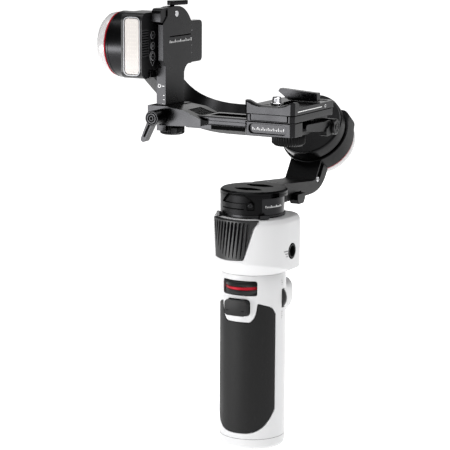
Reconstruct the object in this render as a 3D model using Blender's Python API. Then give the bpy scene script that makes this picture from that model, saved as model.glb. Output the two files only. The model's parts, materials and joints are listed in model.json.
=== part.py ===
"""Hand-held three-axis camera stabilizer, modelled as an assembly of separate pieces.

Frame: the handle stands on Z with the centre of its base at the origin, -Y is the front, +X the user's left.
All sizes below are millimetres; the mesh helpers turn them into metres.
The pan axis is Z, the tilt axis runs along X, and the roll axis leans back 35 degrees below the horizontal.
All three cross at one point above the handle, and the camera seat hangs in front of the roll motor.
"""

import math

import bmesh
import bpy
from mathutils import Matrix

MM = 0.001
GAP = 0.3

# Axes
AXIS_Z = 262.0
ROLL_LEAN = 35.0

# Handle
HANDLE_R = 21.8
HANDLE_TOP = 117.6
HANDLE_BORE_R = 19.2
BASE_OPENING_R = 15.3
BASE_LIP = 4.3
POD_HALF_WIDTH = 20.2
POD_REAR = 25.2
DISPLAY_REAR = 24.2
CONTROL_Z = 101.0

# Grip sleeve and vent grille, as angles from the front, positive towards +X
SLEEVE_HALF_ANGLE = 70.0
SLEEVE_OUTER_R = 21.95
SLEEVE_DEPTH = 1.2
LOBE_HALF_ANGLE = 36.0
SIDE_GAP = 1.2

# Controls
TRIGGER_HALF_WIDTH = 8.0
TRIGGER_Z = (91.3, 101.6)
TRIGGER_FRONT = -26.0
TRIGGER_SPRING_Y = (-19.1, -4.6)
FRONT_DIAL_Y = -11.1
FRONT_DIAL_R = 12.6
FRONT_DIAL_Z = (104.8, 113.6)
MODE_DIAL_X = 15.1
MODE_DIAL_R = 8.8
MODE_DIAL_Z = 100.7
MODE_DIAL_Y = (-0.5, 3.1)
BUTTON_X = 11.5
BUTTON_Z = 104.5

# Head
HEAD_R = 26.9
HEAD_REAR = 24.0
HEAD_CORNER_R = 12.0
HEAD_BOTTOM = 117.9
HEAD_TOP = 155.2
SIDE_THREAD_Y = 3.2
SIDE_THREAD_Z = 132.3

# Pan stage
GRILLE_ENDS = (-43.8, 34.6)

PAN_CAN_R = 20.2
PAN_CAN_TOP = 168.0
PAN_CAP_R = 22.2
PAN_CAP_Z = (168.4, 172.7)
PAN_SKIRT_Z = 157.6
PAN_ARM_HALF_WIDTH = 11.5
PAN_ARM_UNDERSIDE = 160.3

# Roll stage, along the roll axis (s) from the crossing point
ROLL_HOUSING_S = (108.4, 121.6)
ROLL_HOUSING_R = 24.5
ROLL_ROOT_S = (98.0, 107.9)
ROLL_ROOT_R = 23.4
ROLL_BAR_W = (-8.2, 11.6)
ROLL_ARM_X = (-98.0, -88.0)
SHAFT_R = 4.6

# Tilt stage
TILT_MOTOR_R = 22.2
LIGHT_X = (-85.9, -70.0)
LIGHT_Z = 263.4
LIGHT_FRONT = -26.0
LIGHT_HALF_HEIGHT = 21.6
LIGHT_BUTTON_Y = -12.4
LIGHT_BUTTON_R = 2.9
LIGHT_BUTTON_Z = (270.0, 262.9, 255.8)
LAMP_X = (-84.0, -71.0)
LAMP_Z = (243.8, 282.6)
LAMP_CORNER = 3.7
RAIL_Z = (249.0, 277.0)
RAIL_REAR = 43.6
PLATE_X = (-67.0, -60.0)
PLATE_BOTTOM = 207.0
PLATE_HALF_WIDTH = 12.2
PLATE_TOP = 288.6
PLATE_FRONT = -15.4

# Camera carriage
GRID_CORNERS = [(-44.4, -9.8), (-33.4, -7.8), (-32.6, 11.2), (-44.4, 6.4)]
GRID_FLOOR = 215.2
BLOCK_X = (-71.6, -56.0)
BLOCK_Z = (211.2, 224.0)
CROSS_Y = (-16.0, 14.0)
RAIL_END = 37.6
CROSS_RAIL_Z = (210.2, 219.0)
QR_X = (7.9, 43.4)
QR_CHAMFER = 2.3
QR_SIDE_RECESS = 38.0
QR_HALF_DEPTH = 30.0
QR_BASE_Z = (211.6, 220.2)
QR_TOP_Z = (225.3, 229.9)
QR_LIP_Z = 232.6
QR_KNOB_X = 25.0
CAMERA_SCREW = (24.5, -16.0)
QR_LEVER_PIVOT = (27.5, 212.7)
QR_LEVER_X = (39.2, 43.4)
QR_HUB_R = 5.2
LIP_DIP = 3.0

ROLL_FRAME = Matrix.Translation((0, 0, AXIS_Z * MM)) @ Matrix.Rotation(math.radians(-ROLL_LEAN), 4, "X")

WHITE = ((0.86, 0.86, 0.86, 1), 0.42, 0.0)
GRIP = ((0.03, 0.03, 0.032, 1), 0.75, 0.0)
BLACK = ((0.035, 0.035, 0.038, 1), 0.45, 0.0)
ARM = ((0.05, 0.05, 0.055, 1), 0.4, 0.6)
RED = ((0.55, 0.02, 0.03, 1), 0.35, 0.2)
STEEL = ((0.7, 0.7, 0.72, 1), 0.25, 1.0)
BRASS = ((0.75, 0.6, 0.3, 1), 0.3, 1.0)
LAMP = ((0.95, 0.93, 0.88, 1), 0.5, 0.0)
CIRCUIT = ((0.05, 0.25, 0.12, 1), 0.5, 0.0)
GLASS = ((0.02, 0.02, 0.025, 1), 0.08, 0.0)


# ---------------------------------------------------------------- shape helpers

def material(name, finish):
    found = bpy.data.materials.get(name)
    if found:
        return found
    colour, rough, metal = finish
    made = bpy.data.materials.new(name)
    made.use_nodes = True
    shader = made.node_tree.nodes["Principled BSDF"]
    shader.inputs["Base Color"].default_value = colour
    shader.inputs["Roughness"].default_value = rough
    shader.inputs["Metallic"].default_value = metal
    return made


def new_solid(name, points, faces, frame=None):
    """A closed mesh object from points in millimetres, its faces turned outwards."""
    mesh = bpy.data.meshes.new(name)
    mesh.from_pydata([(x * MM, y * MM, z * MM) for x, y, z in points], [], faces)
    work = bmesh.new()
    work.from_mesh(mesh)
    bmesh.ops.recalc_face_normals(work, faces=work.faces)
    work.to_mesh(mesh)
    work.free()
    made = bpy.data.objects.new(name, mesh)
    bpy.context.collection.objects.link(made)
    if frame is not None:
        made.matrix_world = frame
    return made


def arc(centre, radius, start, end, steps):
    """Points on a circle from one angle to another, in degrees."""
    turns = [math.radians(start + (end - start) * i / steps) for i in range(steps + 1)]
    return [(centre[0] + radius * math.cos(t), centre[1] + radius * math.sin(t)) for t in turns]


def curve(first, corner, last, steps):
    """A smooth bend from first to last that leans towards the corner point."""
    points = []
    for i in range(steps + 1):
        t = i / steps
        points.append(tuple((1 - t) ** 2 * a + 2 * t * (1 - t) * b + t * t * c
                            for a, b, c in zip(first, corner, last)))
    return points


def rounded(low, high, radius, steps=4):
    """A rectangle with round corners."""
    (x0, y0), (x1, y1) = low, high
    return (arc((x1 - radius, y0 + radius), radius, -90, 0, steps)
            + arc((x1 - radius, y1 - radius), radius, 0, 90, steps)
            + arc((x0 + radius, y1 - radius), radius, 90, 180, steps)
            + arc((x0 + radius, y0 + radius), radius, 180, 270, steps))


def place(axis, pair, along):
    """A point from its two outline values and its place along the axis."""
    a, b = pair
    return {"X": (along, a, b), "Y": (a, along, b), "Z": (a, b, along)}[axis]


def prism(name, outline, axis, low, high, frame=None):
    """An outline drawn across an axis and pushed along it."""
    count = len(outline)
    points = [place(axis, p, low) for p in outline] + [place(axis, p, high) for p in outline]
    faces = [tuple(range(count)), tuple(range(count, 2 * count))]
    faces += [(i, (i + 1) % count, count + (i + 1) % count, count + i) for i in range(count)]
    return new_solid(name, points, faces, frame)


def box(name, low, high, frame=None):
    outline = [(low[1], low[2]), (high[1], low[2]), (high[1], high[2]), (low[1], high[2])]
    return prism(name, outline, "X", low[0], high[0], frame)


def lathe(name, profile, axis, centre=(0, 0), segments=32, frame=None):
    """Turn a profile of (radius, height) about an axis, from the axis back to it or as a closed loop."""
    points, rings = [], []
    for radius, height in profile:
        if radius < 1e-6:
            rings.append([len(points)] * segments)
            points.append(place(axis, centre, height))
            continue
        rings.append(list(range(len(points), len(points) + segments)))
        for i in range(segments):
            turn = 2 * math.pi * i / segments
            pair = (centre[0] + radius * math.cos(turn), centre[1] + radius * math.sin(turn))
            points.append(place(axis, pair, height))
    pairs = list(zip(rings, rings[1:]))
    if profile[0][0] > 1e-6:
        pairs.append((rings[-1], rings[0]))
    faces = []
    for lower, upper in pairs:
        for i in range(segments):
            j = (i + 1) % segments
            corners = []
            for index in (lower[i], lower[j], upper[j], upper[i]):
                if index not in corners:
                    corners.append(index)
            if len(corners) > 2:
                faces.append(tuple(corners))
    return new_solid(name, points, faces, frame)


def disc(name, radius, axis, low, high, centre=(0, 0), segments=32, frame=None, chamfer=0.0):
    profile = [(0, low), (radius - chamfer, low), (radius, low + chamfer),
               (radius, high - chamfer), (radius - chamfer, high), (0, high)]
    if not chamfer:
        profile = [(0, low), (radius, low), (radius, high), (0, high)]
    return lathe(name, profile, axis, centre, segments, frame)


def tube(name, inner, outer, axis, low, high, centre=(0, 0), segments=32, frame=None):
    profile = [(inner, low), (outer, low), (outer, high), (inner, high)]
    return lathe(name, profile, axis, centre, segments, frame)


def rings_solid(name, rings, frame=None):
    """A skin through rings of equal point counts, closed by its first and last ring."""
    count = len(rings[0])
    points = [p for ring in rings for p in ring]
    faces = [tuple(range(count)), tuple(range(len(points) - count, len(points)))]
    for level in range(len(rings) - 1):
        start = level * count
        faces += [(start + i, start + (i + 1) % count, start + count + (i + 1) % count, start + count + i)
                  for i in range(count)]
    return new_solid(name, points, faces, frame)


def around(angle, radius, height):
    """A point by its angle from the front, positive towards +X."""
    turn = math.radians(angle)
    return (radius * math.sin(turn), -radius * math.cos(turn), height)


def wrapped_panel(name, angles, low, high, inner, outer):
    """A panel wrapped round the handle axis, its edges and outer radius functions of the angle."""
    rings = []
    for angle in angles:
        bottom, top, out = low(angle), high(angle), outer(angle)
        rings.append([around(angle, inner, bottom), around(angle, out, bottom),
                      around(angle, out, top), around(angle, inner, top)])
    return rings_solid(name, rings)


def widened(edge, choose, margin):
    """An edge moved outwards by a margin, and sideways by the side gap where it is steep."""
    return lambda angle: choose(edge(angle - SIDE_GAP), edge(angle), edge(angle + SIDE_GAP)) + margin


def shape(target, *tools, operation="DIFFERENCE"):
    """Cut the tools out of the target, or join them to it, and use them up."""
    for tool in tools:
        step = target.modifiers.new("shape", "BOOLEAN")
        step.operation = operation
        step.object = tool
        bpy.context.view_layer.update()
        graph = bpy.context.evaluated_depsgraph_get()
        result = bpy.data.meshes.new_from_object(target.evaluated_get(graph))
        target.modifiers.clear()
        target.data = result
        bpy.data.objects.remove(tool, do_unlink=True)
    return target


def join(target, *tools):
    return shape(target, *tools, operation="UNION")


def finish(solid, finish_name, finish_values):
    """Give a piece its material, and smooth shading with sharp edges kept."""
    solid.data.materials.clear()
    solid.data.materials.append(material(finish_name, finish_values))
    for polygon in solid.data.polygons:
        polygon.use_smooth = True
    solid.data.set_sharp_from_angle(angle=math.radians(32))
    return solid


def roll_point(s, w):
    """The (y, z) of a point in the leaning roll frame."""
    lean = math.radians(ROLL_LEAN)
    return (s * math.cos(lean) + w * math.sin(lean), AXIS_Z - s * math.sin(lean) + w * math.cos(lean))


def steps_between(low, high, count):
    return [low + (high - low) * i / count for i in range(count + 1)]


# ---------------------------------------------------------------- handle

def sleeve_bottom(angle):
    """The sleeve's lower edge rises from the front towards its side edges."""
    return 11.3 + 16.0 * (abs(angle) / SLEEVE_HALF_ANGLE) ** 3


def sleeve_top(angle):
    """The upper edge, cut away below the trigger and chamfered at the outer corners."""
    side = abs(angle)
    if side > 62:
        return 96.0 - (side - 62) * 0.6
    if side > LOBE_HALF_ANGLE:
        return 99.0 - (side - LOBE_HALF_ANGLE) * 3.0 / (62 - LOBE_HALF_ANGLE)
    if side > 20:
        part = (side - 20) / (LOBE_HALF_ANGLE - 20)
        return 86.4 + 12.6 * (1 - math.sqrt(max(0.0, 1 - part * part)))
    return 86.4


def sleeve_angles():
    """Angles round the sleeve, closest together where its upper edge bends round the trigger."""
    right = steps_between(0, 20, 3) + steps_between(20, LOBE_HALF_ANGLE, 6)[1:]
    right += steps_between(LOBE_HALF_ANGLE, SLEEVE_HALF_ANGLE, 6)[1:]
    return [-angle for angle in reversed(right)] + right[1:]


def build_handle_shell():
    base_round = [(21.6 - 2.6 * (1 - math.sin(t)), 2.8 - 2.8 * math.cos(t)) for t in
                  (math.radians(a) for a in (0, 30, 60))]
    profile = [(0, 0)] + [(r, z) for r, z in base_round] + [(HANDLE_R, 3.4), (HANDLE_R, 111.0),
                                                           (HANDLE_R - 0.3, HANDLE_TOP), (0, HANDLE_TOP)]
    shell = lathe("handle_shell", profile, "Z", segments=48)
    pod_outline = rounded((-POD_HALF_WIDTH, -4), (POD_HALF_WIDTH, POD_REAR), 9.0, 6)
    middle = [(x, y, 0) for x, y in pod_outline]

    def pod_ring(height, shrink):
        return [(x * (1 - shrink / POD_HALF_WIDTH), (y + 4) * (1 - shrink / (POD_REAR + 4)) - 4, height)
                for x, y, _ in middle]

    pod_levels = ((88.0, 5.2), (90.0, 3.0), (92.6, 1.3), (95.6, 0.3), (98.6, 0.0), (102.8, 0.0),
                  (106.0, 0.3), (108.2, 1.0), (110.0, 2.2), (111.5, 4.0), (112.5, 6.2))
    pod = rings_solid("pod", [pod_ring(height, shrink) for height, shrink in pod_levels])
    display_pod = prism("display_pod", rounded((-9.5, 10), (9.5, DISPLAY_REAR), 4.0, 3), "Z", 73.0, 96.0)
    join(shell, pod, display_pod)
    cavity = lathe("cavity", [(0, -1), (BASE_OPENING_R, -1), (BASE_OPENING_R, BASE_LIP),
                              (HANDLE_BORE_R, BASE_LIP), (HANDLE_BORE_R, 120), (0, 120)], "Z", segments=32)
    shape(shell, cavity)
    angles = sleeve_angles()
    angles[0] -= SIDE_GAP
    angles[-1] += SIDE_GAP
    recess = wrapped_panel("recess", angles, widened(sleeve_bottom, min, -GAP), widened(sleeve_top, max, GAP),
                           SLEEVE_OUTER_R - SLEEVE_DEPTH - GAP, lambda a: SLEEVE_OUTER_R + 2)
    trigger_way = prism("trigger_way", rounded((-8.5, 90.8), (8.5, 102.1), 2.6, 4), "Y", -30, -12)
    dial_way = prism("dial_way", rounded((-12.5, 104.2), (12.5, 114.2), 1.5, 3), "Y", -30, -13)
    mode_way = disc("mode_way", MODE_DIAL_R + 0.4, "Y", MODE_DIAL_Y[0] - 0.4, MODE_DIAL_Y[1] + 0.4,
                    (MODE_DIAL_X, MODE_DIAL_Z), 40)
    stick_way = disc("stick_way", 7.2, "Y", 15, 30, (0, CONTROL_Z), 24)
    record_way = disc("record_way", 3.3, "Y", 15, 30, (-BUTTON_X, BUTTON_Z), 16)
    power_way = disc("power_way", 3.3, "Y", 15, 30, (BUTTON_X, BUTTON_Z), 16)
    display_way = prism("display_way", rounded((-7.3, 75.7), (7.3, 90.3), 1.3, 3), "Y", DISPLAY_REAR - 1.5, 30)
    port_way = prism("port_way", rounded((-4.9, 62.0), (4.9, 65.8), 1.8, 4), "X", -26, -15)
    shape(shell, recess, trigger_way, dial_way, mode_way, stick_way, record_way, power_way, display_way,
          port_way)
    return finish(shell, "white_shell", WHITE)


def build_grip_sleeve():
    sleeve = wrapped_panel("grip_sleeve", sleeve_angles(), sleeve_bottom, sleeve_top,
                           SLEEVE_OUTER_R - SLEEVE_DEPTH, lambda a: SLEEVE_OUTER_R)
    return finish(sleeve, "grip", GRIP)


def build_base():
    cap = lathe("base_cap", [(5.0, 0.3), (14.9, 0.3), (14.9, 4.6), (18.8, 4.6), (18.8, 6.8), (5.0, 6.8)],
                "Z", segments=40)
    finish(cap, "black_plastic", BLACK)
    insert = tube("base_thread_insert", 2.7, 4.7, "Z", 0.4, 9.5, segments=24)
    finish(insert, "brass", BRASS)


def build_handle_insides():
    battery = lathe("battery_pack", [(0, 11), (14.8, 11), (15.9, 12.2), (15.9, 82.2), (14.8, 83.4), (0, 83.4)],
                    "Z", segments=32)
    finish(battery, "black_plastic", BLACK)
    frame = prism("inner_frame", arc((0, 0), 18.7, 0, 345, 23), "Z", 85.0, 87.0)
    wall = box("wall", (-12, 4.0, 86), (2.5, 5.6, 116.6))
    lower_bracket = box("lower_bracket", (-3.2, -13.5, 102.5), (2.5, 5, 104.2))
    upper_bracket = box("upper_bracket", (-3.2, -13.5, 114.4), (2.5, 5, 116.0))
    spring_seat = disc("spring_seat", 2.4, "Y", TRIGGER_SPRING_Y[1] + 0.35 + GAP, 4.6,
                       (0, sum(TRIGGER_Z) / 2), 16)
    join(frame, wall, lower_bracket, upper_bracket, spring_seat)
    shape(frame, disc("pin_way", 1.55, "Z", 100, 118, (0, FRONT_DIAL_Y), 16))
    finish(frame, "black_plastic", BLACK)
    pin = disc("front_dial_axle", 1.2, "Z", 102.6, 115.9, (0, FRONT_DIAL_Y), 16)
    finish(pin, "steel", STEEL)
    board = box("control_board", (-11.5, 6.2, 87.6), (3.0, 7.6, 116.0))
    finish(board, "circuit_board", CIRCUIT)


def build_usb_port():
    port = prism("usb_c_port", rounded((-4.5, 62.4), (4.5, 65.4), 1.45, 4), "X", -21.6, -16.4)
    shape(port, prism("mouth", rounded((-4.1, 62.8), (4.1, 65.0), 1.05, 4), "X", -24, -17.2))
    tongue = box("tongue", (-20.6, -3.1, 63.6), (-17.0, 3.1, 64.2))
    join(port, tongue)
    finish(port, "steel", STEEL)


def build_display():
    window = prism("display_window", rounded((-7.0, 76.0), (7.0, 90.0), 1.0, 3), "Y",
                   DISPLAY_REAR - 1.2, DISPLAY_REAR + 0.1)
    finish(window, "display_glass", GLASS)


def build_front_dial():
    """A knurled wheel: notches round its rim, with a plain band in the middle for the red ring."""
    low, high = FRONT_DIAL_Z
    middle = (low + high) / 2
    count = 32
    outline = []
    for i in range(count):
        turn = 2 * math.pi * i / count
        radius = FRONT_DIAL_R if i % 2 else FRONT_DIAL_R - 0.6
        outline.append((radius * math.cos(turn), FRONT_DIAL_Y + radius * math.sin(turn)))
    wheel = prism("front_dial", outline, "Z", low, high)
    groove = tube("groove", FRONT_DIAL_R - 1.3, FRONT_DIAL_R + 2, "Z", middle - 0.85, middle + 0.85,
                  (0, FRONT_DIAL_Y), 32)
    shape(wheel, groove, disc("bore", 1.5, "Z", low - 2, high + 2, (0, FRONT_DIAL_Y), 16))
    finish(wheel, "black_plastic", BLACK)
    ring = tube("front_dial_ring", FRONT_DIAL_R - 1.0, FRONT_DIAL_R + 0.05, "Z", middle - 0.55, middle + 0.55,
                (0, FRONT_DIAL_Y), 32)
    finish(ring, "red_trim", RED)


def build_trigger():
    low, high = TRIGGER_Z
    button = prism("trigger_button", rounded((-TRIGGER_HALF_WIDTH, low), (TRIGGER_HALF_WIDTH, high), 2.2, 4),
                   "Y", TRIGGER_FRONT, -16.2)
    nose = lathe("nose", [(0, TRIGGER_FRONT - 4), (40, TRIGGER_FRONT - 4), (40, TRIGGER_FRONT + 3.0),
                          (9.0, TRIGGER_FRONT + 1.0), (4.0, TRIGGER_FRONT + 0.25), (0, TRIGGER_FRONT + 0.0)],
                 "Y", (0, (low + high) / 2), 32)
    shape(button, nose, disc("pocket", 3.2, "Y", -19.5, -10, (0, (low + high) / 2), 24))
    finish(button, "black_plastic", BLACK)
    build_coil("trigger_spring", 2.2, 0.35, *TRIGGER_SPRING_Y, 5, (0, (low + high) / 2))


def build_coil(name, radius, wire, start, end, turns, centre):
    """A round-wire compression spring along Y."""
    sides, per_turn = 4, 9
    rings = []
    for i in range(turns * per_turn + 1):
        turn = 2 * math.pi * i / per_turn
        along = start + (end - start) * i / (turns * per_turn)
        ring = []
        for k in range(sides):
            side = 2 * math.pi * k / sides
            reach = radius + wire * math.cos(side)
            ring.append((centre[0] + reach * math.cos(turn), along + wire * math.sin(side),
                         centre[1] + reach * math.sin(turn)))
        rings.append(ring)
    finish(rings_solid(name, rings), "steel", STEEL)


def build_mode_dial():
    count = 32
    outline = []
    for i in range(count):
        turn = 2 * math.pi * i / count
        radius = MODE_DIAL_R if i % 2 else MODE_DIAL_R - 0.5
        outline.append((MODE_DIAL_X + radius * math.cos(turn), MODE_DIAL_Z + radius * math.sin(turn)))
    dial = prism("mode_dial", outline, "Y", *MODE_DIAL_Y)
    finish(dial, "black_plastic", BLACK)


def build_joystick():
    centre = (0, CONTROL_Z)
    yoke = tube("joystick_yoke", 3.4, 5.6, "Y", 20.2, 22.0, centre, 24)
    finish(yoke, "steel", STEEL)
    cap = lathe("joystick_cap", [(0, 19.6), (1.8, 19.6), (1.8, 26.2), (4.4, 27.4), (5.0, 28.6), (4.2, 29.5),
                                 (2.6, 28.9), (0, 28.6)], "Y", centre, 32)
    finish(cap, "black_plastic", BLACK)


def build_rear_buttons():
    for name, x in (("record_button", -BUTTON_X), ("power_button", BUTTON_X)):
        button = disc(name, 3.0, "Y", 20.8, POD_REAR + 0.8, (x, BUTTON_Z), 16, chamfer=0.4)
        colour = ("red_trim", RED) if name == "record_button" else ("black_plastic", BLACK)
        finish(button, *colour)


# ---------------------------------------------------------------- head

def head_outline():
    """Round front, flat sides, and a squarer back."""
    reach = HEAD_R - HEAD_CORNER_R
    back = HEAD_REAR - HEAD_CORNER_R
    return (arc((0, 0), HEAD_R, -180, 0, 30)
            + arc((reach, back), HEAD_CORNER_R, 0, 90, 6)
            + arc((-reach, back), HEAD_CORNER_R, 90, 180, 6)[:-1])


def grille_bottom(angle):
    """The grille's lower edge: level in front, steep at both ends, with a round upper corner on the right."""
    if angle > 25.5:
        return 147.8 + 6.8 * ((angle - 25.5) / 9.4) ** 0.62
    if angle > 12.6:
        return 129.0 + 18.8 * ((angle - 12.6) / 12.9) ** 1.08
    if angle < -37:
        return 129.0 + 3.7 * (-37 - angle)
    return 129.0 - 0.8 * math.cos(math.radians((angle + 12) * 3.6))


def grille_top(angle):
    return 154.8


def grille_reach(angle):
    """Upright ribs stand out from the grille between its plain borders."""
    pitch, border = 5.4, 1.4
    if angle < -41.5 or angle > 24:
        return 27.2
    phase = (angle + 41.5) % pitch
    return 27.4 if phase < pitch - 2 * border else 26.3


def build_head():
    outline = head_outline()

    def ring(scale, height):
        return [(x * scale, y * scale, height) for x, y in outline]

    def lip(x, y):
        """The lower edge is high at the front and low at the sides and back."""
        front = max(0.0, -y / HEAD_R)
        return 119.8 + 5.9 * front ** 0.8

    neck = []
    for x, y in outline:
        reach = math.hypot(x, y)
        neck.append((x * HANDLE_R / reach, y * HANDLE_R / reach, HEAD_BOTTOM))
    under = [(x * 0.985, y * 0.985, lip(x, y)) for x, y in outline]
    edge = [(x, y, lip(x, y) + 1.4) for x, y in outline]
    shell = rings_solid("head_shell", [neck, under, edge, ring(1.0, 150.8), ring(0.985, 152.8),
                                       ring(0.95, 154.5), ring(0.90, HEAD_TOP)])
    cavity = lathe("cavity", [(0, 110), (18.9, 110), (18.9, 121), (22.3, 126), (22.3, 149.5), (18.5, 151.5),
                              (18.5, 160), (0, 160)], "Z", segments=32)
    seat = wrapped_panel("seat", steps_between(GRILLE_ENDS[0] - SIDE_GAP, GRILLE_ENDS[1] + SIDE_GAP, 40),
                         widened(grille_bottom, min, -GAP), widened(grille_top, max, GAP), 24.6,
                         lambda a: 30.0)
    thread_way = disc("thread_way", 5.4, "X", 18, 30, (SIDE_THREAD_Y, SIDE_THREAD_Z), 32)
    shape(shell, cavity, seat, thread_way)
    finish(shell, "white_shell", WHITE)

    angles = [GRILLE_ENDS[0]] + steps_between(-42.85, 33.5, 56) + [GRILLE_ENDS[1]]
    grille = wrapped_panel("vent_grille", angles, grille_bottom, grille_top, 24.9, grille_reach)
    finish(grille, "black_plastic", BLACK)

    insert = tube("side_thread_insert", 2.9, 5.1, "X", 20.4, HEAD_R + 0.15, (SIDE_THREAD_Y, SIDE_THREAD_Z), 32)
    finish(insert, "black_plastic", BLACK)


def build_pan_motor():
    """The fixed half of the pan motor, with a flange that carries two strap tabs."""
    housing = lathe("pan_motor_housing", [(0, 131), (18.1, 131), (18.1, 155.6), (20.9, 155.6), (20.9, 157.2),
                                          (PAN_CAN_R, 157.2), (PAN_CAN_R, PAN_CAN_TOP), (4.9, PAN_CAN_TOP),
                                          (4.9, 138), (0, 138)], "Z", segments=40)
    for side in (-43, 44):
        turn = Matrix.Rotation(math.radians(side), 4, "Z")
        outline = [(-24.9, 155.6), (-20.2, 155.6), (-20.2, 157.0), (-23.0, 157.0), (-23.0, 158.0),
                   (-24.9, 158.0)]
        join(housing, prism("tab", outline, "X", -3.0, 3.0, turn))
    finish(housing, "arm_metal", ARM)


# ---------------------------------------------------------------- pan stage

def lens(length, width, steps):
    """The outline shared by two equal circles, pointed at both ends."""
    half, rise = length / 2, width / 2
    radius = (half * half + rise * rise) / (2 * rise)
    sweep = math.degrees(math.asin(half / radius))
    lower = arc((0, radius - rise), radius, -90 - sweep, -90 + sweep, steps)
    upper = arc((0, rise - radius), radius, 90 - sweep, 90 + sweep, steps)
    return lower[:-1] + upper[:-1]


WINDOW_ANGLES = (-39.0, -30.0, -20.7, -12.0, -4.0, 4.0, 11.0, 15.4, 15.6, 20.0, 25.0, 29.0)


def window_sill(angle):
    """Lower edge of the arm's front window, with a deeper bay for the lock's knob."""
    return 160.9 if angle > 15.5 else 165.0


def window_head(angle):
    """Upper edge of the window: level, with a slope at both ends."""
    if angle < -20.7:
        return 171.3 - 6.0 * (-20.7 - angle) / 18.3
    if angle > 11.0:
        return 171.3 - 4.9 * (angle - 11.0) / 17.5
    return 171.3


def build_pan_arm():
    low, high = PAN_CAP_Z
    arm = lathe("pan_arm", [(0, low), (PAN_CAP_R, low), (PAN_CAP_R, high - 1.1), (PAN_CAP_R - 1.1, high),
                            (0, high)], "Z", segments=40)
    skirt = wrapped_panel("skirt", steps_between(-172, 42, 34), lambda a: PAN_SKIRT_Z, lambda a: low + 1.5,
                          PAN_CAN_R + 0.4, lambda a: PAN_CAP_R - 0.1)
    stem_rear, stem_front = ROLL_HOUSING_S[1], ROLL_HOUSING_S[0] + 0.2
    rear_low = roll_point(stem_rear, -27)
    reach = 77.1
    outline = ([(4, low + 0.3), (22.8, low + 0.3), (22.8, PAN_ARM_UNDERSIDE)]
               + curve((60, PAN_ARM_UNDERSIDE), (reach, PAN_ARM_UNDERSIDE), rear_low, 8)
               + [roll_point(stem_rear, -16), roll_point(stem_front, -16), roll_point(stem_front, -37),
                  (64.0, 169.0), (22, high - 0.1), (4, high - 0.1)])
    bar = prism("bar", outline, "X", -PAN_ARM_HALF_WIDTH, PAN_ARM_HALF_WIDTH)
    join(arm, skirt, bar)
    cup = disc("cup", ROLL_HOUSING_R + 0.4, "Y", 100, 130, segments=40, frame=ROLL_FRAME)
    top_cuts = []
    for y in (-8.2, 8.4):
        outline = [(px, py + y) for px, py in lens(21.0, 9.4, 8)]
        top_cuts.append(prism("lens", outline, "Z", high - 2.6, high + 2))
    label_turn = Matrix.Rotation(math.radians(67), 4, "Z")
    side_slot = box("side_slot", (-3.4, -25, low - 1), (3.4, -17.5, high - 1.3), label_turn)
    window = wrapped_panel("window", WINDOW_ANGLES, window_sill, window_head, PAN_CAP_R - 1.3,
                           lambda a: PAN_CAP_R + 3)
    band_groove = wrapped_panel("band_groove", steps_between(-37, 11, 14), lambda a: 161.0, lambda a: 161.8,
                                PAN_CAP_R - 0.6, lambda a: PAN_CAP_R + 3)
    slot = prism("slot", rounded((109.6, -37.0), (114.6, -17.0), 1.8, 4), "X", PAN_ARM_HALF_WIDTH - 1.8, 14,
                 ROLL_FRAME)
    toggle_way = box("toggle_way", (8.5, 31.5, PAN_ARM_UNDERSIDE - 1), (14, 46.5, PAN_ARM_UNDERSIDE + 4.5))
    shape(arm, cup, *top_cuts, side_slot, window, band_groove, slot, toggle_way)
    finish(arm, "arm_metal", ARM)

    shaft = disc("pan_shaft", SHAFT_R, "Z", 139, low - GAP, segments=24)
    finish(shaft, "steel", STEEL)
    screw = disc("pan_arm_screw", 1.8, "X", PAN_ARM_HALF_WIDTH - 1.2, PAN_ARM_HALF_WIDTH + 0.1,
                 (112.1, -35.0), 20, ROLL_FRAME)
    finish(screw, "steel", STEEL)


def build_axis_locks():
    """Sliding locks for the pan and roll axes."""
    turn = Matrix.Rotation(math.radians(22.3), 4, "Z")
    latch = prism("pan_axis_lock", rounded((-1.8, 162.6), (1.8, 166.2), 1.5, 4), "Y", -23.9, -21.2, turn)
    finish(latch, "arm_metal", ARM)
    outline = [(33.4, 164.2), (33.4, 160.4), (35.6, 157.4), (42.4, 157.4), (44.6, 160.4), (44.6, 164.2)]
    toggle = prism("roll_axis_lock", outline, "X", 8.9, 15.5)
    finish(toggle, "arm_metal", ARM)


def build_roll_motor():
    front, back = ROLL_HOUSING_S
    side = arc((0, 0), ROLL_HOUSING_R, -200, 20, 40)
    outline = side + arc((16.0, 11.5), 6.5, 0, 90, 6) + arc((-16.0, 11.5), 6.5, 90, 180, 6)
    housing = prism("roll_motor_housing", outline, "Y", front, back, ROLL_FRAME)
    shape(housing, disc("bore", SHAFT_R + 0.3, "Y", front - 2, back - 3, segments=24, frame=ROLL_FRAME))
    finish(housing, "arm_metal", ARM)
    ring = tube("roll_motor_ring", 19.0, ROLL_HOUSING_R - 0.7, "Y", back + GAP, back + 1.3, segments=40,
                frame=ROLL_FRAME)
    finish(ring, "red_trim", RED)
    cap = lathe("roll_motor_cap", motor_cap_profile(back + 1.6, 23.6, 10.3), "Y", segments=40, frame=ROLL_FRAME)
    finish(cap, "pearl_cap", WHITE)
    shaft = disc("roll_shaft", SHAFT_R, "Y", ROLL_ROOT_S[1] + GAP, 117.5, segments=24, frame=ROLL_FRAME)
    finish(shaft, "steel", STEEL)


def motor_cap_profile(base, radius, height):
    """A shallow dome on a short straight rim."""
    rim = 3.0 if height > 0 else -3.0
    profile = [(0, base), (radius, base), (radius, base + rim)]
    for step in range(1, 6):
        turn = math.radians(step * 90 / 6)
        profile.append((radius * math.cos(turn) ** 0.7, base + rim + (height - rim) * math.sin(turn)))
    return profile + [(0, base + height)]


# ---------------------------------------------------------------- roll stage

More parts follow.
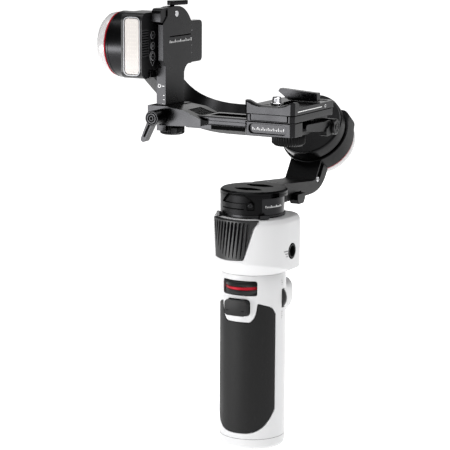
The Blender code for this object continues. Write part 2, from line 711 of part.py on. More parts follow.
def build_roll_arm():
    front, back = ROLL_ROOT_S
    outer, inner = ROLL_ARM_X
    outline = ([(0, front)] + curve((-58, front), (inner, front), (inner, 68), 8)
               + [(inner, 14), (outer, 14)] + curve((outer, 74), (outer, back), (-64, back), 8) + [(0, back)])
    arm = prism("roll_arm", outline, "Z", *ROLL_BAR_W, ROLL_FRAME)
    root = disc("root", ROLL_ROOT_R, "Y", front, back, segments=40, frame=ROLL_FRAME, chamfer=1.0)
    join(arm, root)
    saddle = disc("saddle", TILT_MOTOR_R + GAP, "X", -120, -60, (0, AXIS_Z), 48)
    shape(arm, saddle)
    finish(arm, "arm_metal", ARM)


def build_tilt_motor():
    centre = (0, AXIS_Z)
    radius = TILT_MOTOR_R
    housing = lathe("tilt_motor_housing", [(0, -101.0), (radius - 0.6, -101.0), (radius, -100.4),
                                           (radius, -86.9), (radius - 0.6, -86.2), (5.2, -86.2),
                                           (5.2, -98.3), (0, -98.3)], "X", centre, 40)
    finish(housing, "arm_metal", ARM)
    ring = tube("tilt_motor_ring", 17.0, radius - 0.45, "X", -102.2, -101.3, centre, 40)
    finish(ring, "red_trim", RED)
    cap = lathe("tilt_motor_cap", motor_cap_profile(-102.5, 21.2, -10.0), "X", centre, 40)
    finish(cap, "pearl_cap", WHITE)


def lamp_outline(name, inset, front, back):
    """An upright round-cornered shape, set in from the lamp's edge."""
    return prism(name, rounded((LAMP_X[0] + inset, LAMP_Z[0] + inset), (LAMP_X[1] - inset, LAMP_Z[1] - inset),
                               LAMP_CORNER - inset, 5), "Y", front, back)


def build_fill_light():
    left, right = LIGHT_X
    low, high = LIGHT_Z - LIGHT_HALF_HEIGHT, LIGHT_Z + LIGHT_HALF_HEIGHT
    corner = 5.0
    outline = (arc((LIGHT_FRONT + corner, high - corner), corner, 90, 180, 5)
               + arc((LIGHT_FRONT + corner, low + corner), corner, 180, 270, 5)
               + arc((0, LIGHT_Z), LIGHT_HALF_HEIGHT, -90, 90, 24))
    body = prism("fill_light_body", outline, "X", left, right)
    shape(body, disc("bore", 6.2, "X", left - 2, right + 2, (0, AXIS_Z), 32),
          lamp_outline("lamp_way", -GAP, -30, LIGHT_FRONT + 3.5))
    for z in LIGHT_BUTTON_Z:
        shape(body, disc("way", LIGHT_BUTTON_R + GAP, "X", right - 2.6, right + 2, (LIGHT_BUTTON_Y, z), 24))
    finish(body, "black_plastic", BLACK)
    bezel = lamp_outline("fill_light_bezel", 0, LIGHT_FRONT - 0.4, LIGHT_FRONT + 2.0)
    shape(bezel, lamp_outline("pane", 0.8, -30, -20))
    finish(bezel, "steel", STEEL)
    lamp = lamp_outline("fill_light_diffuser", 1.1, LIGHT_FRONT - 0.2, LIGHT_FRONT + 3.0)
    finish(lamp, "diffuser", LAMP)
    for number, z in enumerate(LIGHT_BUTTON_Z, 1):
        button = disc(f"light_button_{number}", LIGHT_BUTTON_R, "X", right - 1.4, right + 0.3,
                      (LIGHT_BUTTON_Y, z), 24, chamfer=0.3)
        finish(button, "black_plastic", BLACK)
    lock = prism("tilt_axis_lock", rounded((-18.0, 242.3), (-10.5, 246.9), 1.0, 3), "X", -69.7, -68.0)
    finish(lock, "arm_metal", ARM)


# ---------------------------------------------------------------- tilt stage

def build_tilt_rail():
    shaft = disc("tilt_shaft", SHAFT_R, "X", -98.0, -69.7, (0, AXIS_Z), 24)
    finish(shaft, "steel", STEEL)
    rail = prism("tilt_rail", rounded((-5.6, RAIL_Z[0]), (RAIL_REAR, RAIL_Z[1]), 3.0, 4), "X", -69.4,
                 PLATE_X[0] + 3.0)
    finish(rail, "arm_metal", ARM)


def build_vertical_plate():
    half = PLATE_HALF_WIDTH
    outline = ([(-half, PLATE_BOTTOM), (half, PLATE_BOTTOM), (half, 240.8)]
               + curve((half, 244.2), (14.0, 248.6), (18.0, 249.4), 5)
               + [(21.8, 249.4), (21.8, 277.6)] + curve((21.0, 278.6), (14.0, PLATE_TOP), (2.5, PLATE_TOP), 10)
               + curve((0.0, PLATE_TOP), (-7.0, PLATE_TOP), (-9.6, 286.6), 3)
               + [(-9.6, 282.4), (PLATE_FRONT, 277.2), (PLATE_FRONT, 253.8), (-half, 250.0)])
    plate = prism("vertical_plate", outline, "X", *PLATE_X)
    rail_way = box("rail_way", (-80, -60, RAIL_Z[0] - 0.4), (PLATE_X[0] + 3.3, 60, RAIL_Z[1] + 0.4))
    screw_way = disc("screw_way", 2.4, "X", PLATE_X[1] - 1.3, -50, (2.4, 283.6), 24)
    pin_way = disc("pin_way", 1.8, "Z", 282, 300, (-64.6, 4.0), 16)
    groove = box("groove", (PLATE_X[1] - 0.6, -6.8, 268.5), (-50, 23, 269.3))
    shape(plate, rail_way, screw_way, pin_way, groove)
    finish(plate, "arm_metal", ARM)
    screw = disc("plate_screw", 2.1, "X", PLATE_X[1] - 1.0, PLATE_X[1] + 0.2, (2.4, 283.6), 24)
    finish(screw, "steel", STEEL)
    jaw = prism("rail_clamp", rounded((-10.0, 277.6), (13.0, 287.6), 1.5, 3), "X", -69.3, PLATE_X[0] - GAP)
    block_outline = ([(-14.6, 278.6), (-10.2, 282.6), (-10.2, 287.9)] + arc((-14.0, 284.4), 3.5, 90, 180, 5)
                     + arc((-16.5, 279.6), 1.0, 180, 270, 2))
    bridge = box("bridge", (-69.0, -13.0, 283.4), (PLATE_X[0] - GAP, -9.0, 286.8))
    join(jaw, prism("block", block_outline, "X", PLATE_X[0] - GAP - 0.4, -60.8), bridge)
    finish(jaw, "arm_metal", ARM)
    foot = disc("plate_foot", 8.2, "Z", 203.9, PLATE_BOTTOM - GAP, (-61.5, -1.0), 32, chamfer=1.2)
    finish(foot, "arm_metal", ARM)


def build_clamp_lever():
    """A thumb lever on top of the plate, turning about an upright pin."""
    pivot = (-64.6, 4.0)
    tip = (-60.8, 13.8)
    lever = prism("clamp_lever", bar_outline(pivot, tip, 3.4, 2.3), "Z", PLATE_TOP + 0.4, PLATE_TOP + 3.4)
    join(lever, disc("pin", 1.45, "Z", 283, PLATE_TOP + 1.5, pivot, 16))
    finish(lever, "arm_metal", ARM)


def bar_outline(first, last, first_radius, last_radius):
    """A lever's outline: a round hub, a round tip and the straight sides between them."""
    heading = math.degrees(math.atan2(last[1] - first[1], last[0] - first[0]))
    return (arc(first, first_radius, heading + 90, heading + 270, 12)
            + arc(last, last_radius, heading - 90, heading + 90, 8))


# ---------------------------------------------------------------- camera carriage

def build_cross_arm():
    low, high = BLOCK_Z
    front, rear = CROSS_Y
    rail_low, rail_high = CROSS_RAIL_Z
    arm = box("cross_arm", (BLOCK_X[0], front, low), (BLOCK_X[1], rear, high))

    def section(x, y0, y1, z0, z1):
        return [(x, y0, z0), (x, y1, z0), (x, y1, z1), (x, y0, z1)]

    wedge = rings_solid("wedge", [section(-57, front, rear, low, high - 0.3),
                                  section(-44, front, rear, low + 0.5, 222.1),
                                  section(-31.5, front, rear, low + 1.2, 216.9),
                                  section(-27.5, -12, 12, low + 3.4, 215.6)])
    half_profile = [(9.6, rail_low), (9.6, 213.0), (10.6, 214.2), (12.0, 214.2), (12.0, 216.1), (11.0, 216.1),
                    (11.0, 217.7), (12.0, 217.7), (12.0, 218.2), (11.2, rail_high)]
    profile = [(-y, z) for y, z in half_profile] + [(y, z) for y, z in reversed(half_profile)]
    rail = prism("rail", profile, "X", -46, RAIL_END)
    join(arm, wedge, rail)
    plate_slot = box("plate_slot", (PLATE_X[0] - GAP, -12.5, low - 2), (PLATE_X[1] + GAP, 12.5, high + 2))
    ridge_groove = box("ridge_groove", (-30, -6.5, rail_high - 3.2), (60, 6.5, rail_high + 9))
    stem_slot = prism("stem_slot", rounded((3.2, -3.4), (36.0, 3.4), 3.3, 5), "Z", 200, 230)
    grid = prism("grid", GRID_CORNERS, "Z", GRID_FLOOR, 230)
    shape(arm, plate_slot, ridge_groove, stem_slot, grid)
    return finish(arm, "arm_metal", ARM)


def build_height_lever():
    """The clamp lever on the front of the cross arm's block."""
    pivot = (-61.5, 217.0)
    tip = (-68.2, 202.8)
    lever = disc("height_lever", 4.95, "Y", -28.0, CROSS_Y[0] - GAP, pivot, 32, chamfer=0.4)
    blade = prism("blade", bar_outline(pivot, tip, 2.4, 1.9), "Y", -27.6, -22.2)
    shape(lever, disc("socket", 1.7, "Y", -30, -26.2, pivot, 20))
    join(lever, blade)
    finish(lever, "arm_metal", ARM)


def qr_outline(inset):
    """The quick-release pieces share one plan: a rectangle with its corners cut off."""
    x0, x1 = QR_X[0] + inset, QR_X[1] - inset
    y1 = QR_HALF_DEPTH - inset
    cut = QR_CHAMFER
    return [(x0 + cut, -y1), (x1 - cut, -y1), (x1, cut - y1), (x1, y1 - cut), (x1 - cut, y1), (x0 + cut, y1),
            (x0, y1 - cut), (x0, cut - y1)]


def build_qr_base():
    x0, x1 = QR_X
    low, high = QR_BASE_Z
    base = prism("qr_base", qr_outline(0), "Z", low, high)
    rail_way = box("rail_way", (x0 - 5, -12.4, low - 5), (x1 + 5, 12.4, CROSS_RAIL_Z[1] + 0.35))
    stem_way = disc("stem_way", 3.2, "Z", low - 5, high + 5, (QR_KNOB_X, 0), 24)
    window = prism("window", rounded((x0 + 3.7, low + 1.3), (x1 - 5.1, high - 1.2), 2.4, 5), "Y",
                   -QR_HALF_DEPTH - 3, -QR_HALF_DEPTH + 1.6)
    lever_way = box("lever_way", (QR_SIDE_RECESS, -17.0, low - 3), (x1 + 5, QR_HALF_DEPTH + 3, high + 3))
    shape(base, rail_way, stem_way, window, lever_way)
    finish(base, "arm_metal", ARM)

    knob = lathe("qr_base_knob", [(0, 202.3), (9.6, 202.3), (11.0, 203.8), (11.0, 205.6), (10.4, 206.0),
                                  (10.4, 206.6), (11.0, 207.0), (11.0, 209.2), (10.4, 209.8), (2.9, 209.8),
                                  (2.9, 219.8), (0, 219.8)], "Z", (QR_KNOB_X, 0), 28)
    finish(knob, "arm_metal", ARM)

    clamp = prism("qr_clamp", qr_outline(0.4), "Z", high + GAP, 225.0)
    channel = box("channel", (x0 + 4.5, -40, high + 1.0), (x1 - 4.0, 40, 230))
    shape(clamp, channel)
    finish(clamp, "arm_metal", ARM)


def build_qr_lever():
    """The clamp lever lies in the base's side recess, its ringed hub at the rear."""
    pivot = QR_LEVER_PIVOT
    low, high = QR_LEVER_X
    lever = disc("qr_lever", QR_HUB_R, "X", QR_SIDE_RECESS + GAP, high + 2.6, pivot, 28, chamfer=0.5)
    blade_line = bar_outline((pivot[0] - 2.0, pivot[1] + 0.6), (-9.6, 215.6), 3.6, 2.3)
    thumb_line = bar_outline(pivot, (pivot[0] - 9.0, pivot[1] - 2.6), 4.2, 2.8)
    blade = prism("blade", blade_line, "X", low, high)
    thumb = prism("thumb", thumb_line, "X", low, high + 1.0)
    join(lever, blade, thumb)
    finish(lever, "arm_metal", ARM)


def scooped_lip():
    """The raised front lip: horns at both ends, a shallow scoop between, and a sloping rear edge."""
    x0, x1 = QR_X
    floor, low = QR_TOP_Z[0] + 1.0, QR_TOP_Z[1] - 0.4
    half_chord = (x1 - x0) / 2 - 3.6
    middle = (x0 + x1) / 2

    def level(y, rise, cut):
        top = []
        for x in steps_between(x0 + cut, x1 - cut, 18):
            part = min(1.0, abs(x - middle) / half_chord)
            top.append((x, y, max(low, QR_LIP_Z - LIP_DIP * math.sqrt(1 - part * part)) + rise))
        return [(x1 - cut, y, floor), (x0 + cut, y, floor)] + top

    rings = [level(-QR_HALF_DEPTH, 0, QR_CHAMFER), level(QR_CHAMFER - QR_HALF_DEPTH, 1.1, 0.02),
             level(-24.6, 1.1, 0.02), level(-22.2, -0.2, 0.02)]
    return rings_solid("lip", rings)


def build_qr_plate():
    x0, x1 = QR_X
    low, high = QR_TOP_Z
    plate = prism("qr_plate", qr_outline(0), "Z", low, high)
    join(plate, scooped_lip())
    join(plate, box("foot", (x0 + 5.2, -29.8, QR_BASE_Z[1] + 1.2), (x1 - 4.7, 29.0, low + 1)))
    shape(plate, prism("slot", rounded((21.0, -21.0), (28.0, 10.0), 3.4, 5), "Z", 226.4, 240))
    finish(plate, "arm_metal", ARM)

    x, y = CAMERA_SCREW
    screw = lathe("camera_screw", [(0, 226.8), (2.9, 226.8), (2.9, 230.2), (4.3, 230.2), (4.3, 231.6),
                                   (3.1, 231.9), (3.1, 234.8), (2.5, 235.4), (0, 235.4)], "Z", (x, y), 28)
    finish(screw, "steel", STEEL)

    outline = [(11.4, 235.6), (19.1, high + GAP), (39.6, high + GAP), (39.6, 235.8), (12.6, 237.5)]
    backstop = prism("backstop", outline, "Y", 11.0, 15.5)
    shape(backstop, disc("hole", 1.5, "Y", 5, 20, (30.5, 233.2), 20))
    finish(backstop, "arm_metal", ARM)


def clear_scene():
    for old in list(bpy.data.objects):
        bpy.data.objects.remove(old, do_unlink=True)


def main():
    clear_scene()
    build_handle_shell()
    build_grip_sleeve()
    build_base()
    build_handle_insides()
    build_usb_port()
    build_display()
    build_front_dial()
    build_trigger()
    build_mode_dial()
    build_joystick()
    build_rear_buttons()
    build_head()
    build_pan_motor()
    build_pan_arm()
    build_axis_locks()
    build_roll_motor()
    build_roll_arm()
    build_tilt_motor()
    build_fill_light()
    build_tilt_rail()
    build_vertical_plate()
    build_clamp_lever()
    build_cross_arm()
    build_height_lever()
    build_qr_base()
    build_qr_lever()
    build_qr_plate()


main()
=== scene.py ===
"""Looks for a hand-held three-axis camera stabilizer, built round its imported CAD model.

Sizes are millimetres in the part's frame: Z runs up the handle, -Y is the front, and +X is the side with the
mode dial. Angles are degrees. Angles round the handle start at the front and grow toward +X.
"""

import json
import math

import bmesh
import bpy
from mathutils import Matrix, Vector


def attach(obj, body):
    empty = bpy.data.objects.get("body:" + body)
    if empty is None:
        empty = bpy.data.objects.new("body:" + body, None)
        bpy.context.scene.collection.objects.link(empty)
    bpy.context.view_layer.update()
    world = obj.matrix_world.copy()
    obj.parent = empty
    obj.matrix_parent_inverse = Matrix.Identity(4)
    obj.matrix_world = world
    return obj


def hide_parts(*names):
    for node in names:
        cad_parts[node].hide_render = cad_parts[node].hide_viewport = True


MM = 0.001
AXES_CROSS_Z = 262.0
ROLL_LEAN = 35.0

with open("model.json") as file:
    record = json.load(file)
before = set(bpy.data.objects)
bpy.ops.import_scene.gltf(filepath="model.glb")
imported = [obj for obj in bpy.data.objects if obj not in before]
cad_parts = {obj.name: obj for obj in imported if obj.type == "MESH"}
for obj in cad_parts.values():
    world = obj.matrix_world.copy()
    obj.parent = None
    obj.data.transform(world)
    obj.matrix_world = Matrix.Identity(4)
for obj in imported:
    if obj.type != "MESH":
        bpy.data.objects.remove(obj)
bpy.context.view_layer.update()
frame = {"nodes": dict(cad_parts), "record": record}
nodes = frame["nodes"]

ROLL_FRAME = Matrix.Translation((0, 0, AXES_CROSS_Z * MM)) @ Matrix.Rotation(math.radians(-ROLL_LEAN), 4, "X")


# ---------------------------------------------------------------- materials

COAT_ROUGHNESS = 0.08
WEAR_SCALE = 40
WEAR_DETAIL = 4
WEAR_CHANGE = 0.05
SMOOTHEST = 0.02
NOISE_LOW, NOISE_HIGH = 0.3, 0.7


def add_wear(tree, place, shader, colour, rough, tint):
    """Slow changes in roughness, and in tint by a share of the colour."""
    slow = tree.nodes.new("ShaderNodeTexNoise")
    slow.inputs["Scale"].default_value = WEAR_SCALE
    slow.inputs["Detail"].default_value = WEAR_DETAIL
    tree.links.new(place.outputs["Object"], slow.inputs["Vector"])
    spread = tree.nodes.new("ShaderNodeMapRange")
    spread.inputs["From Min"].default_value = NOISE_LOW
    spread.inputs["From Max"].default_value = NOISE_HIGH
    spread.inputs["To Min"].default_value = max(SMOOTHEST, rough - WEAR_CHANGE)
    spread.inputs["To Max"].default_value = rough + WEAR_CHANGE
    tree.links.new(slow.outputs["Fac"], spread.inputs["Value"])
    tree.links.new(spread.outputs["Result"], shader.inputs["Roughness"])
    ramp = tree.nodes.new("ShaderNodeValToRGB")
    ends = zip(ramp.color_ramp.elements, (NOISE_LOW, NOISE_HIGH), (1 - tint, 1 + tint))
    for element, position, scale in ends:
        element.position = position
        element.color = tuple(min(1.0, c * scale) for c in colour) + (1,)
    tree.links.new(slow.outputs["Fac"], ramp.inputs["Fac"])
    tree.links.new(ramp.outputs["Color"], shader.inputs["Base Color"])


def add_grain(tree, place, shader, grain, cells):
    """Fine grain in the normal: (scale, strength, depth in millimetres), as noise or as leather cells."""
    scale, strength, depth = grain
    fine = tree.nodes.new("ShaderNodeTexVoronoi" if cells else "ShaderNodeTexNoise")
    fine.inputs["Scale"].default_value = scale
    tree.links.new(place.outputs["Object"], fine.inputs["Vector"])
    bump = tree.nodes.new("ShaderNodeBump")
    bump.inputs["Strength"].default_value = strength
    bump.inputs["Distance"].default_value = depth * MM
    tree.links.new(fine.outputs["Distance" if cells else "Fac"], bump.inputs["Height"])
    tree.links.new(bump.outputs["Normal"], shader.inputs["Normal"])


def surface(name, colour, rough, metal=0.0, coat=0.0, specular=0.5, grain=(2500, 0.05, 0.05), cells=False,
            tint=0.04, emission=0.0):
    """A procedural finish with fine grain and slow wear."""
    made = bpy.data.materials.new(name)
    made.use_nodes = True
    tree = made.node_tree
    shader = tree.nodes["Principled BSDF"]
    shader.inputs["Metallic"].default_value = metal
    shader.inputs["Coat Weight"].default_value = coat
    shader.inputs["Coat Roughness"].default_value = COAT_ROUGHNESS
    shader.inputs["Specular IOR Level"].default_value = specular
    place = tree.nodes.new("ShaderNodeTexCoord")
    add_wear(tree, place, shader, colour, rough, tint)
    add_grain(tree, place, shader, grain, cells)
    if emission:
        shader.inputs["Emission Color"].default_value = tuple(colour) + (1,)
        shader.inputs["Emission Strength"].default_value = emission
    return made


WHITE = surface("white_plastic", (0.51, 0.51, 0.515), 0.40, coat=0.1, grain=(5000, 0.12, 0.02), tint=0.01)
PEARL = surface("pearl_white", (0.42, 0.412, 0.414), 0.22, coat=0.5, grain=(6000, 0.05, 0.01), tint=0.01)
GRIP = surface("leather_grain", (0.006, 0.006, 0.0062), 0.5, specular=0.16, grain=(1500, 0.5, 0.12),
               cells=True, tint=0.15)
BLACK = surface("black_plastic", (0.008, 0.008, 0.0085), 0.36, specular=0.3, grain=(5000, 0.15, 0.03))
# Near-black without reflection. It is the colour of real dark joints, lines and plugs, and it is painted
# shade in holes, grooves, slots and recesses.
DARK = surface("joint_black_and_painted_shade", (0.0025, 0.0025, 0.0025), 0.8, specular=0.02)
ARM = surface("black_anodised", (0.020, 0.020, 0.021), 0.27, metal=1.0, specular=0.3, grain=(9000, 0.2, 0.02))
# Darker copies of the black anodised finish. They are painted shade for the parts that sit darker in the
# light.
ARM_PAINTED_SHADE = surface("black_anodised_painted_deep_shade", (0.0065, 0.0065, 0.0068), 0.36, metal=0.9, specular=0.2,
                   grain=(9000, 0.25, 0.02))
ARM_SATIN_PAINTED_SHADE = surface("satin_black_anodised_painted_shade", (0.012, 0.012, 0.0125), 0.3, metal=0.95, specular=0.25,
                    grain=(9000, 0.2, 0.02))
RED = surface("red_anodised", (0.27, 0.003, 0.012), 0.42, metal=0.3, specular=0.15)
STEEL = surface("bright_steel", (0.55, 0.55, 0.565), 0.24, metal=1.0, grain=(7000, 0.1, 0.01))
BRASS = surface("brass", (0.78, 0.6, 0.3), 0.28, metal=1.0)
LAMP = surface("lamp_diffuser", (0.44, 0.412, 0.39), 0.5, coat=0.2, grain=(1200, 0.2, 0.05))
LAMP_CELL = surface("lamp_cells", (0.48, 0.45, 0.42), 0.5)
BEZEL = surface("lamp_bezel", (0.10, 0.10, 0.103), 0.3, metal=1.0)
SOFT_BLACK = surface("soft_black", (0.006, 0.006, 0.0062), 0.42, specular=0.17, grain=(4000, 0.15, 0.03))
# A lighter grey copy of the black plastic. It is a painted highlight on the ribs at the light's side.
RIB_HIGHLIGHT_GREY = surface("rib_painted_highlight", (0.022, 0.022, 0.023), 0.4, specular=0.3)
CIRCUIT = surface("solder_mask", (0.02, 0.16, 0.07), 0.35, coat=0.4, tint=0.3)
GLASS = surface("display_glass", (0.008, 0.009, 0.011), 0.06, coat=0.8, grain=(500, 0.01, 0.01))
INK = surface("white_ink", (0.8, 0.8, 0.8), 0.5)
GREY_INK = surface("grey_ink", (0.33, 0.33, 0.34), 0.5)
PRINT_GREY = surface("print_grey", (0.1, 0.1, 0.105), 0.5)
GRIP_PAD = surface("seat_rubber", (0.02, 0.02, 0.02), 0.8, specular=0.2, grain=(3000, 0.3, 0.05))
SCREEN = surface("screen_segments", (0.55, 0.8, 0.9), 0.4, emission=0.8)

# The look of each material slot in the record
SLOT_LOOKS = {
    "white_shell": WHITE, "pearl_cap": PEARL, "grip": GRIP, "black_plastic": BLACK, "arm_metal": ARM,
    "red_trim": RED, "steel": STEEL, "brass": BRASS, "diffuser": LAMP, "circuit_board": CIRCUIT,
    "display_glass": GLASS,
}

# Nodes whose look differs from their slot's. The darker anodised copies here are painted shade.
OWN_LOOKS = {
    "trigger_button": SOFT_BLACK, "fill_light_bezel": BEZEL, "roll_arm": ARM_SATIN_PAINTED_SHADE, "qr_lever": ARM_SATIN_PAINTED_SHADE,
    "roll_motor_housing": ARM_PAINTED_SHADE, "pan_arm": ARM_PAINTED_SHADE, "pan_axis_lock": ARM_PAINTED_SHADE,
    "roll_axis_lock": ARM_PAINTED_SHADE, "plate_foot": ARM_PAINTED_SHADE, "qr_base_knob": ARM_PAINTED_SHADE,
}


# ---------------------------------------------------------------- CAD pieces, with softer edges

WELD_REACH = 0.000002
FLAT_ANGLE = 0.6
EDGE_ANGLE = 32
NORMAL_WEIGHT = 60
EDGE_STEPS = 2

# Edge widths by node. The rest take the usual width, and a width of nothing leaves the piece sharp.
USUAL_EDGE = 0.25
EDGES = {
    "handle_shell": 0.35, "head_shell": 0.5, "roll_arm": 1.3, "vertical_plate": 0.7, "pan_arm": 0.5,
    "cross_arm": 0.3, "fill_light_body": 0.6, "tilt_rail": 0.5, "rail_clamp": 0.4,
    "roll_motor_housing": 0.8, "tilt_motor_housing": 0.3, "trigger_button": 1.5, "height_lever": 0.4,
    "qr_lever": 0.6, "grip_sleeve": 0.3, "backstop": 0.5, "clamp_lever": 0.5, "plate_foot": 0.4,
    "mode_dial": 0.3, "trigger_spring": 0.0, "control_board": 0.1, "joystick_cap": 0.3,
}
EDGE_STEPS_BY_NODE = {"roll_arm": 1}


def soften(obj, width, steps=EDGE_STEPS):
    """Round the sharp edges of a piece."""
    weld = obj.modifiers.new("weld", "WELD")
    weld.merge_threshold = WELD_REACH
    flat = obj.modifiers.new("flat", "DECIMATE")
    flat.decimate_type = "DISSOLVE"
    flat.angle_limit = math.radians(FLAT_ANGLE)
    bevel = obj.modifiers.new("soft_edges", "BEVEL")
    bevel.width = width * MM
    bevel.segments = steps
    bevel.limit_method = "ANGLE"
    bevel.angle_limit = math.radians(EDGE_ANGLE)
    bevel.miter_outer = "MITER_ARC"
    bevel.use_clamp_overlap = True
    bevel.harden_normals = False
    normals = obj.modifiers.new("normals", "WEIGHTED_NORMAL")
    normals.keep_sharp = True
    normals.weight = NORMAL_WEIGHT


def dress_cad():
    """Give each CAD piece its look and its soft edges."""
    slots = {row["node"]: row["material_slot"] for row in frame["record"]["subparts"]}
    for name, obj in nodes.items():
        obj.data.materials.clear()
        obj.data.materials.append(OWN_LOOKS.get(name, SLOT_LOOKS[slots[name]]))
        for polygon in obj.data.polygons:
            polygon.use_smooth = True
        width = EDGES.get(name, USUAL_EDGE)
        if width:
            soften(obj, width, EDGE_STEPS_BY_NODE.get(name, EDGE_STEPS))


# ---------------------------------------------------------------- mesh helpers for the detail pieces

SMOOTH_ANGLE = 30
ROUND_ANGLE = 50
TOOTH_STEPS = 4
WRAP_STEP = 4
MARK_SINK = 0.05
MARK_RISE = 0.05


def piece(name, points, faces, look, body, slot, place=None, crease=SMOOTH_ANGLE, edge=0.0):
    """A closed piece from points in millimetres that moves with a body."""
    mesh = bpy.data.meshes.new(name)
    mesh.from_pydata([(x * MM, y * MM, z * MM) for x, y, z in points], [], faces)
    if place is not None:
        mesh.transform(place)
    work = bmesh.new()
    work.from_mesh(mesh)
    bmesh.ops.recalc_face_normals(work, faces=work.faces)
    work.to_mesh(mesh)
    work.free()
    mesh.materials.append(look)
    for polygon in mesh.polygons:
        polygon.use_smooth = True
    mesh.set_sharp_from_angle(angle=math.radians(crease))
    made = bpy.data.objects.new(name, mesh)
    bpy.context.scene.collection.objects.link(made)
    if edge:
        soften(made, edge)
    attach(made, body)
    return made


def on_axis(axis, pair, along):
    """The point at a distance along an axis, with the other two coordinates from a pair."""
    a, b = pair
    return {"X": (along, a, b), "Y": (a, along, b), "Z": (a, b, along)}[axis]


def spaced(low, high, count):
    """Evenly spaced values, both ends included."""
    return [low + (high - low) * i / (count - 1) for i in range(count)]


def ticks(low, high, count, every, tall, short):
    """The places of a scale's marks with their lengths; every so many is a tall one."""
    return [(at, tall if i % every == 0 else short) for i, at in enumerate(spaced(low, high, count))]


def arc(centre, radius, count, start, sweep):
    """Points along part of a circle."""
    turns = [math.radians(start + sweep * i / (count - 1)) for i in range(count)]
    return [(centre[0] + radius * math.cos(t), centre[1] + radius * math.sin(t)) for t in turns]


def round_box(low, high, radius, count):
    """The outline of a rectangle with round corners."""
    (x0, y0), (x1, y1) = low, high
    corners = [(x1 - radius, y0 + radius, -90), (x1 - radius, y1 - radius, 0),
               (x0 + radius, y1 - radius, 90), (x0 + radius, y0 + radius, 180)]
    return [point for x, y, start in corners for point in arc((x, y), radius, count, start, 90.0)]


def rings_piece(name, rings, look, body, slot, **more):
    """A skin through rings of equal point counts, closed at both ends."""
    count = len(rings[0])
    points = [p for ring in rings for p in ring]
    faces = [tuple(range(count)), tuple(range(len(points) - count, len(points)))]
    for level in range(len(rings) - 1):
        start = level * count
        faces += [(start + i, start + (i + 1) % count, start + count + (i + 1) % count, start + count + i)
                  for i in range(count)]
    return piece(name, points, faces, look, body, slot, **more)


def hoop(name, rings, look, body, slot, **more):
    """A skin through rings that come back to the first one."""
    count, total = len(rings[0]), len(rings)
    points = [p for ring in rings for p in ring]
    faces = []
    for level in range(total):
        start, after = level * count, (level + 1) % total * count
        faces += [(start + i, start + (i + 1) % count, after + (i + 1) % count, after + i)
                  for i in range(count)]
    return piece(name, points, faces, look, body, slot, **more)


def slab(name, outline, axis, low, high, look, body, slot, **more):
    """An outline drawn across an axis and pushed along it."""
    rings = [[on_axis(axis, p, along) for p in outline] for along in (low, high)]
    return rings_piece(name, rings, look, body, slot, **more)


def turned(name, profile, axis, centre, look, body, slot, segments=64, **more):
    """A closed loop of (radius, height) turned about an axis."""
    rings = []
    for i in range(segments):
        t = 2 * math.pi * i / segments
        rings.append([on_axis(axis, (centre[0] + r * math.cos(t), centre[1] + r * math.sin(t)), h)
                      for r, h in profile])
    return hoop(name, rings, look, body, slot, **more)


def flat_ring(name, inner, outer, low, high, axis, centre, look, body, slot, **more):
    """A ring with a rectangular section, turned about an axis."""
    profile = [(inner, low), (outer, low), (outer, high), (inner, high)]
    return turned(name, profile, axis, centre, look, body, slot, **more)


def knurled(name, profile, axis, centre, look, body, slot, rim, teeth, depth):
    """A turned hoop that has fine teeth wherever its radius is at least that of the rim."""
    rings = []
    for i in range(teeth * TOOTH_STEPS):
        t = 2 * math.pi * i / (teeth * TOOTH_STEPS)
        cut = depth * (0.5 - 0.5 * math.cos(2 * math.pi * i / TOOTH_STEPS))
        ring = []
        for r, h in profile:
            reach = r - cut if r >= rim else r
            ring.append(on_axis(axis, (centre[0] + reach * math.cos(t), centre[1] + reach * math.sin(t)), h))
        rings.append(ring)
    return hoop(name, rings, look, body, slot, crease=ROUND_ANGLE)


def thread_profile(radius, depth, low, high, turns):
    """The zigzag of a thread's side, from low to high."""
    pitch = (high - low) / turns
    points = []
    for i in range(turns):
        points += [(radius, low + pitch * i), (radius + depth, low + pitch * (i + 0.5))]
    return points + [(radius, high)]


def boxes(name, corners, look, body, slot, **more):
    """Several small blocks as one piece; each is (lowest corner, highest corner)."""
    points, faces = [], []
    for low, high in corners:
        start = len(points)
        points += [(x, y, z) for x in (low[0], high[0]) for y in (low[1], high[1]) for z in (low[2], high[2])]
        faces += [tuple(start + i for i in side) for side in
                  ((0, 1, 3, 2), (4, 6, 7, 5), (0, 4, 5, 1), (2, 3, 7, 6), (0, 2, 6, 4), (1, 5, 7, 3))]
    return piece(name, points, faces, look, body, slot, **more)


def marks(name, axis, face, rectangles, look, body, slot, sink=MARK_SINK, rise=MARK_RISE):
    """Thin printed rectangles on a flat face that lies across an axis."""
    corners = [(on_axis(axis, low, face - sink), on_axis(axis, high, face + rise))
               for low, high in rectangles]
    return boxes(name, corners, look, body, slot)


def wrapped(name, blocks, look, body, slot):
    """Small blocks bent round the handle: (angle, angle, height, height, inner radius, outer radius)."""
    points, faces = [], []
    for a0, a1, z0, z1, inner, outer in blocks:
        section = ((inner, z0), (outer, z0), (outer, z1), (inner, z1))
        steps = max(1, math.ceil(abs(a1 - a0) / WRAP_STEP))
        start = len(points)
        for i in range(steps + 1):
            t = math.radians(a0 + (a1 - a0) * i / steps)
            points += [(r * math.sin(t), -r * math.cos(t), z) for r, z in section]
        for i in range(steps):
            ring, after = start + 4 * i, start + 4 * (i + 1)
            faces += [(ring + k, ring + (k + 1) % 4, after + (k + 1) % 4, after + k) for k in range(4)]
        faces += [tuple(range(start, start + 4)), tuple(range(start + 4 * steps, start + 4 * steps + 4))]
    return piece(name, points, faces, look, body, slot)


def band_rings(inner, outer, axis, low, high):
    """Sections along a flat band between two outlines with equal point counts."""
    return [[on_axis(axis, a, low), on_axis(axis, b, low), on_axis(axis, b, high), on_axis(axis, a, high)]
            for a, b in zip(inner, outer)]


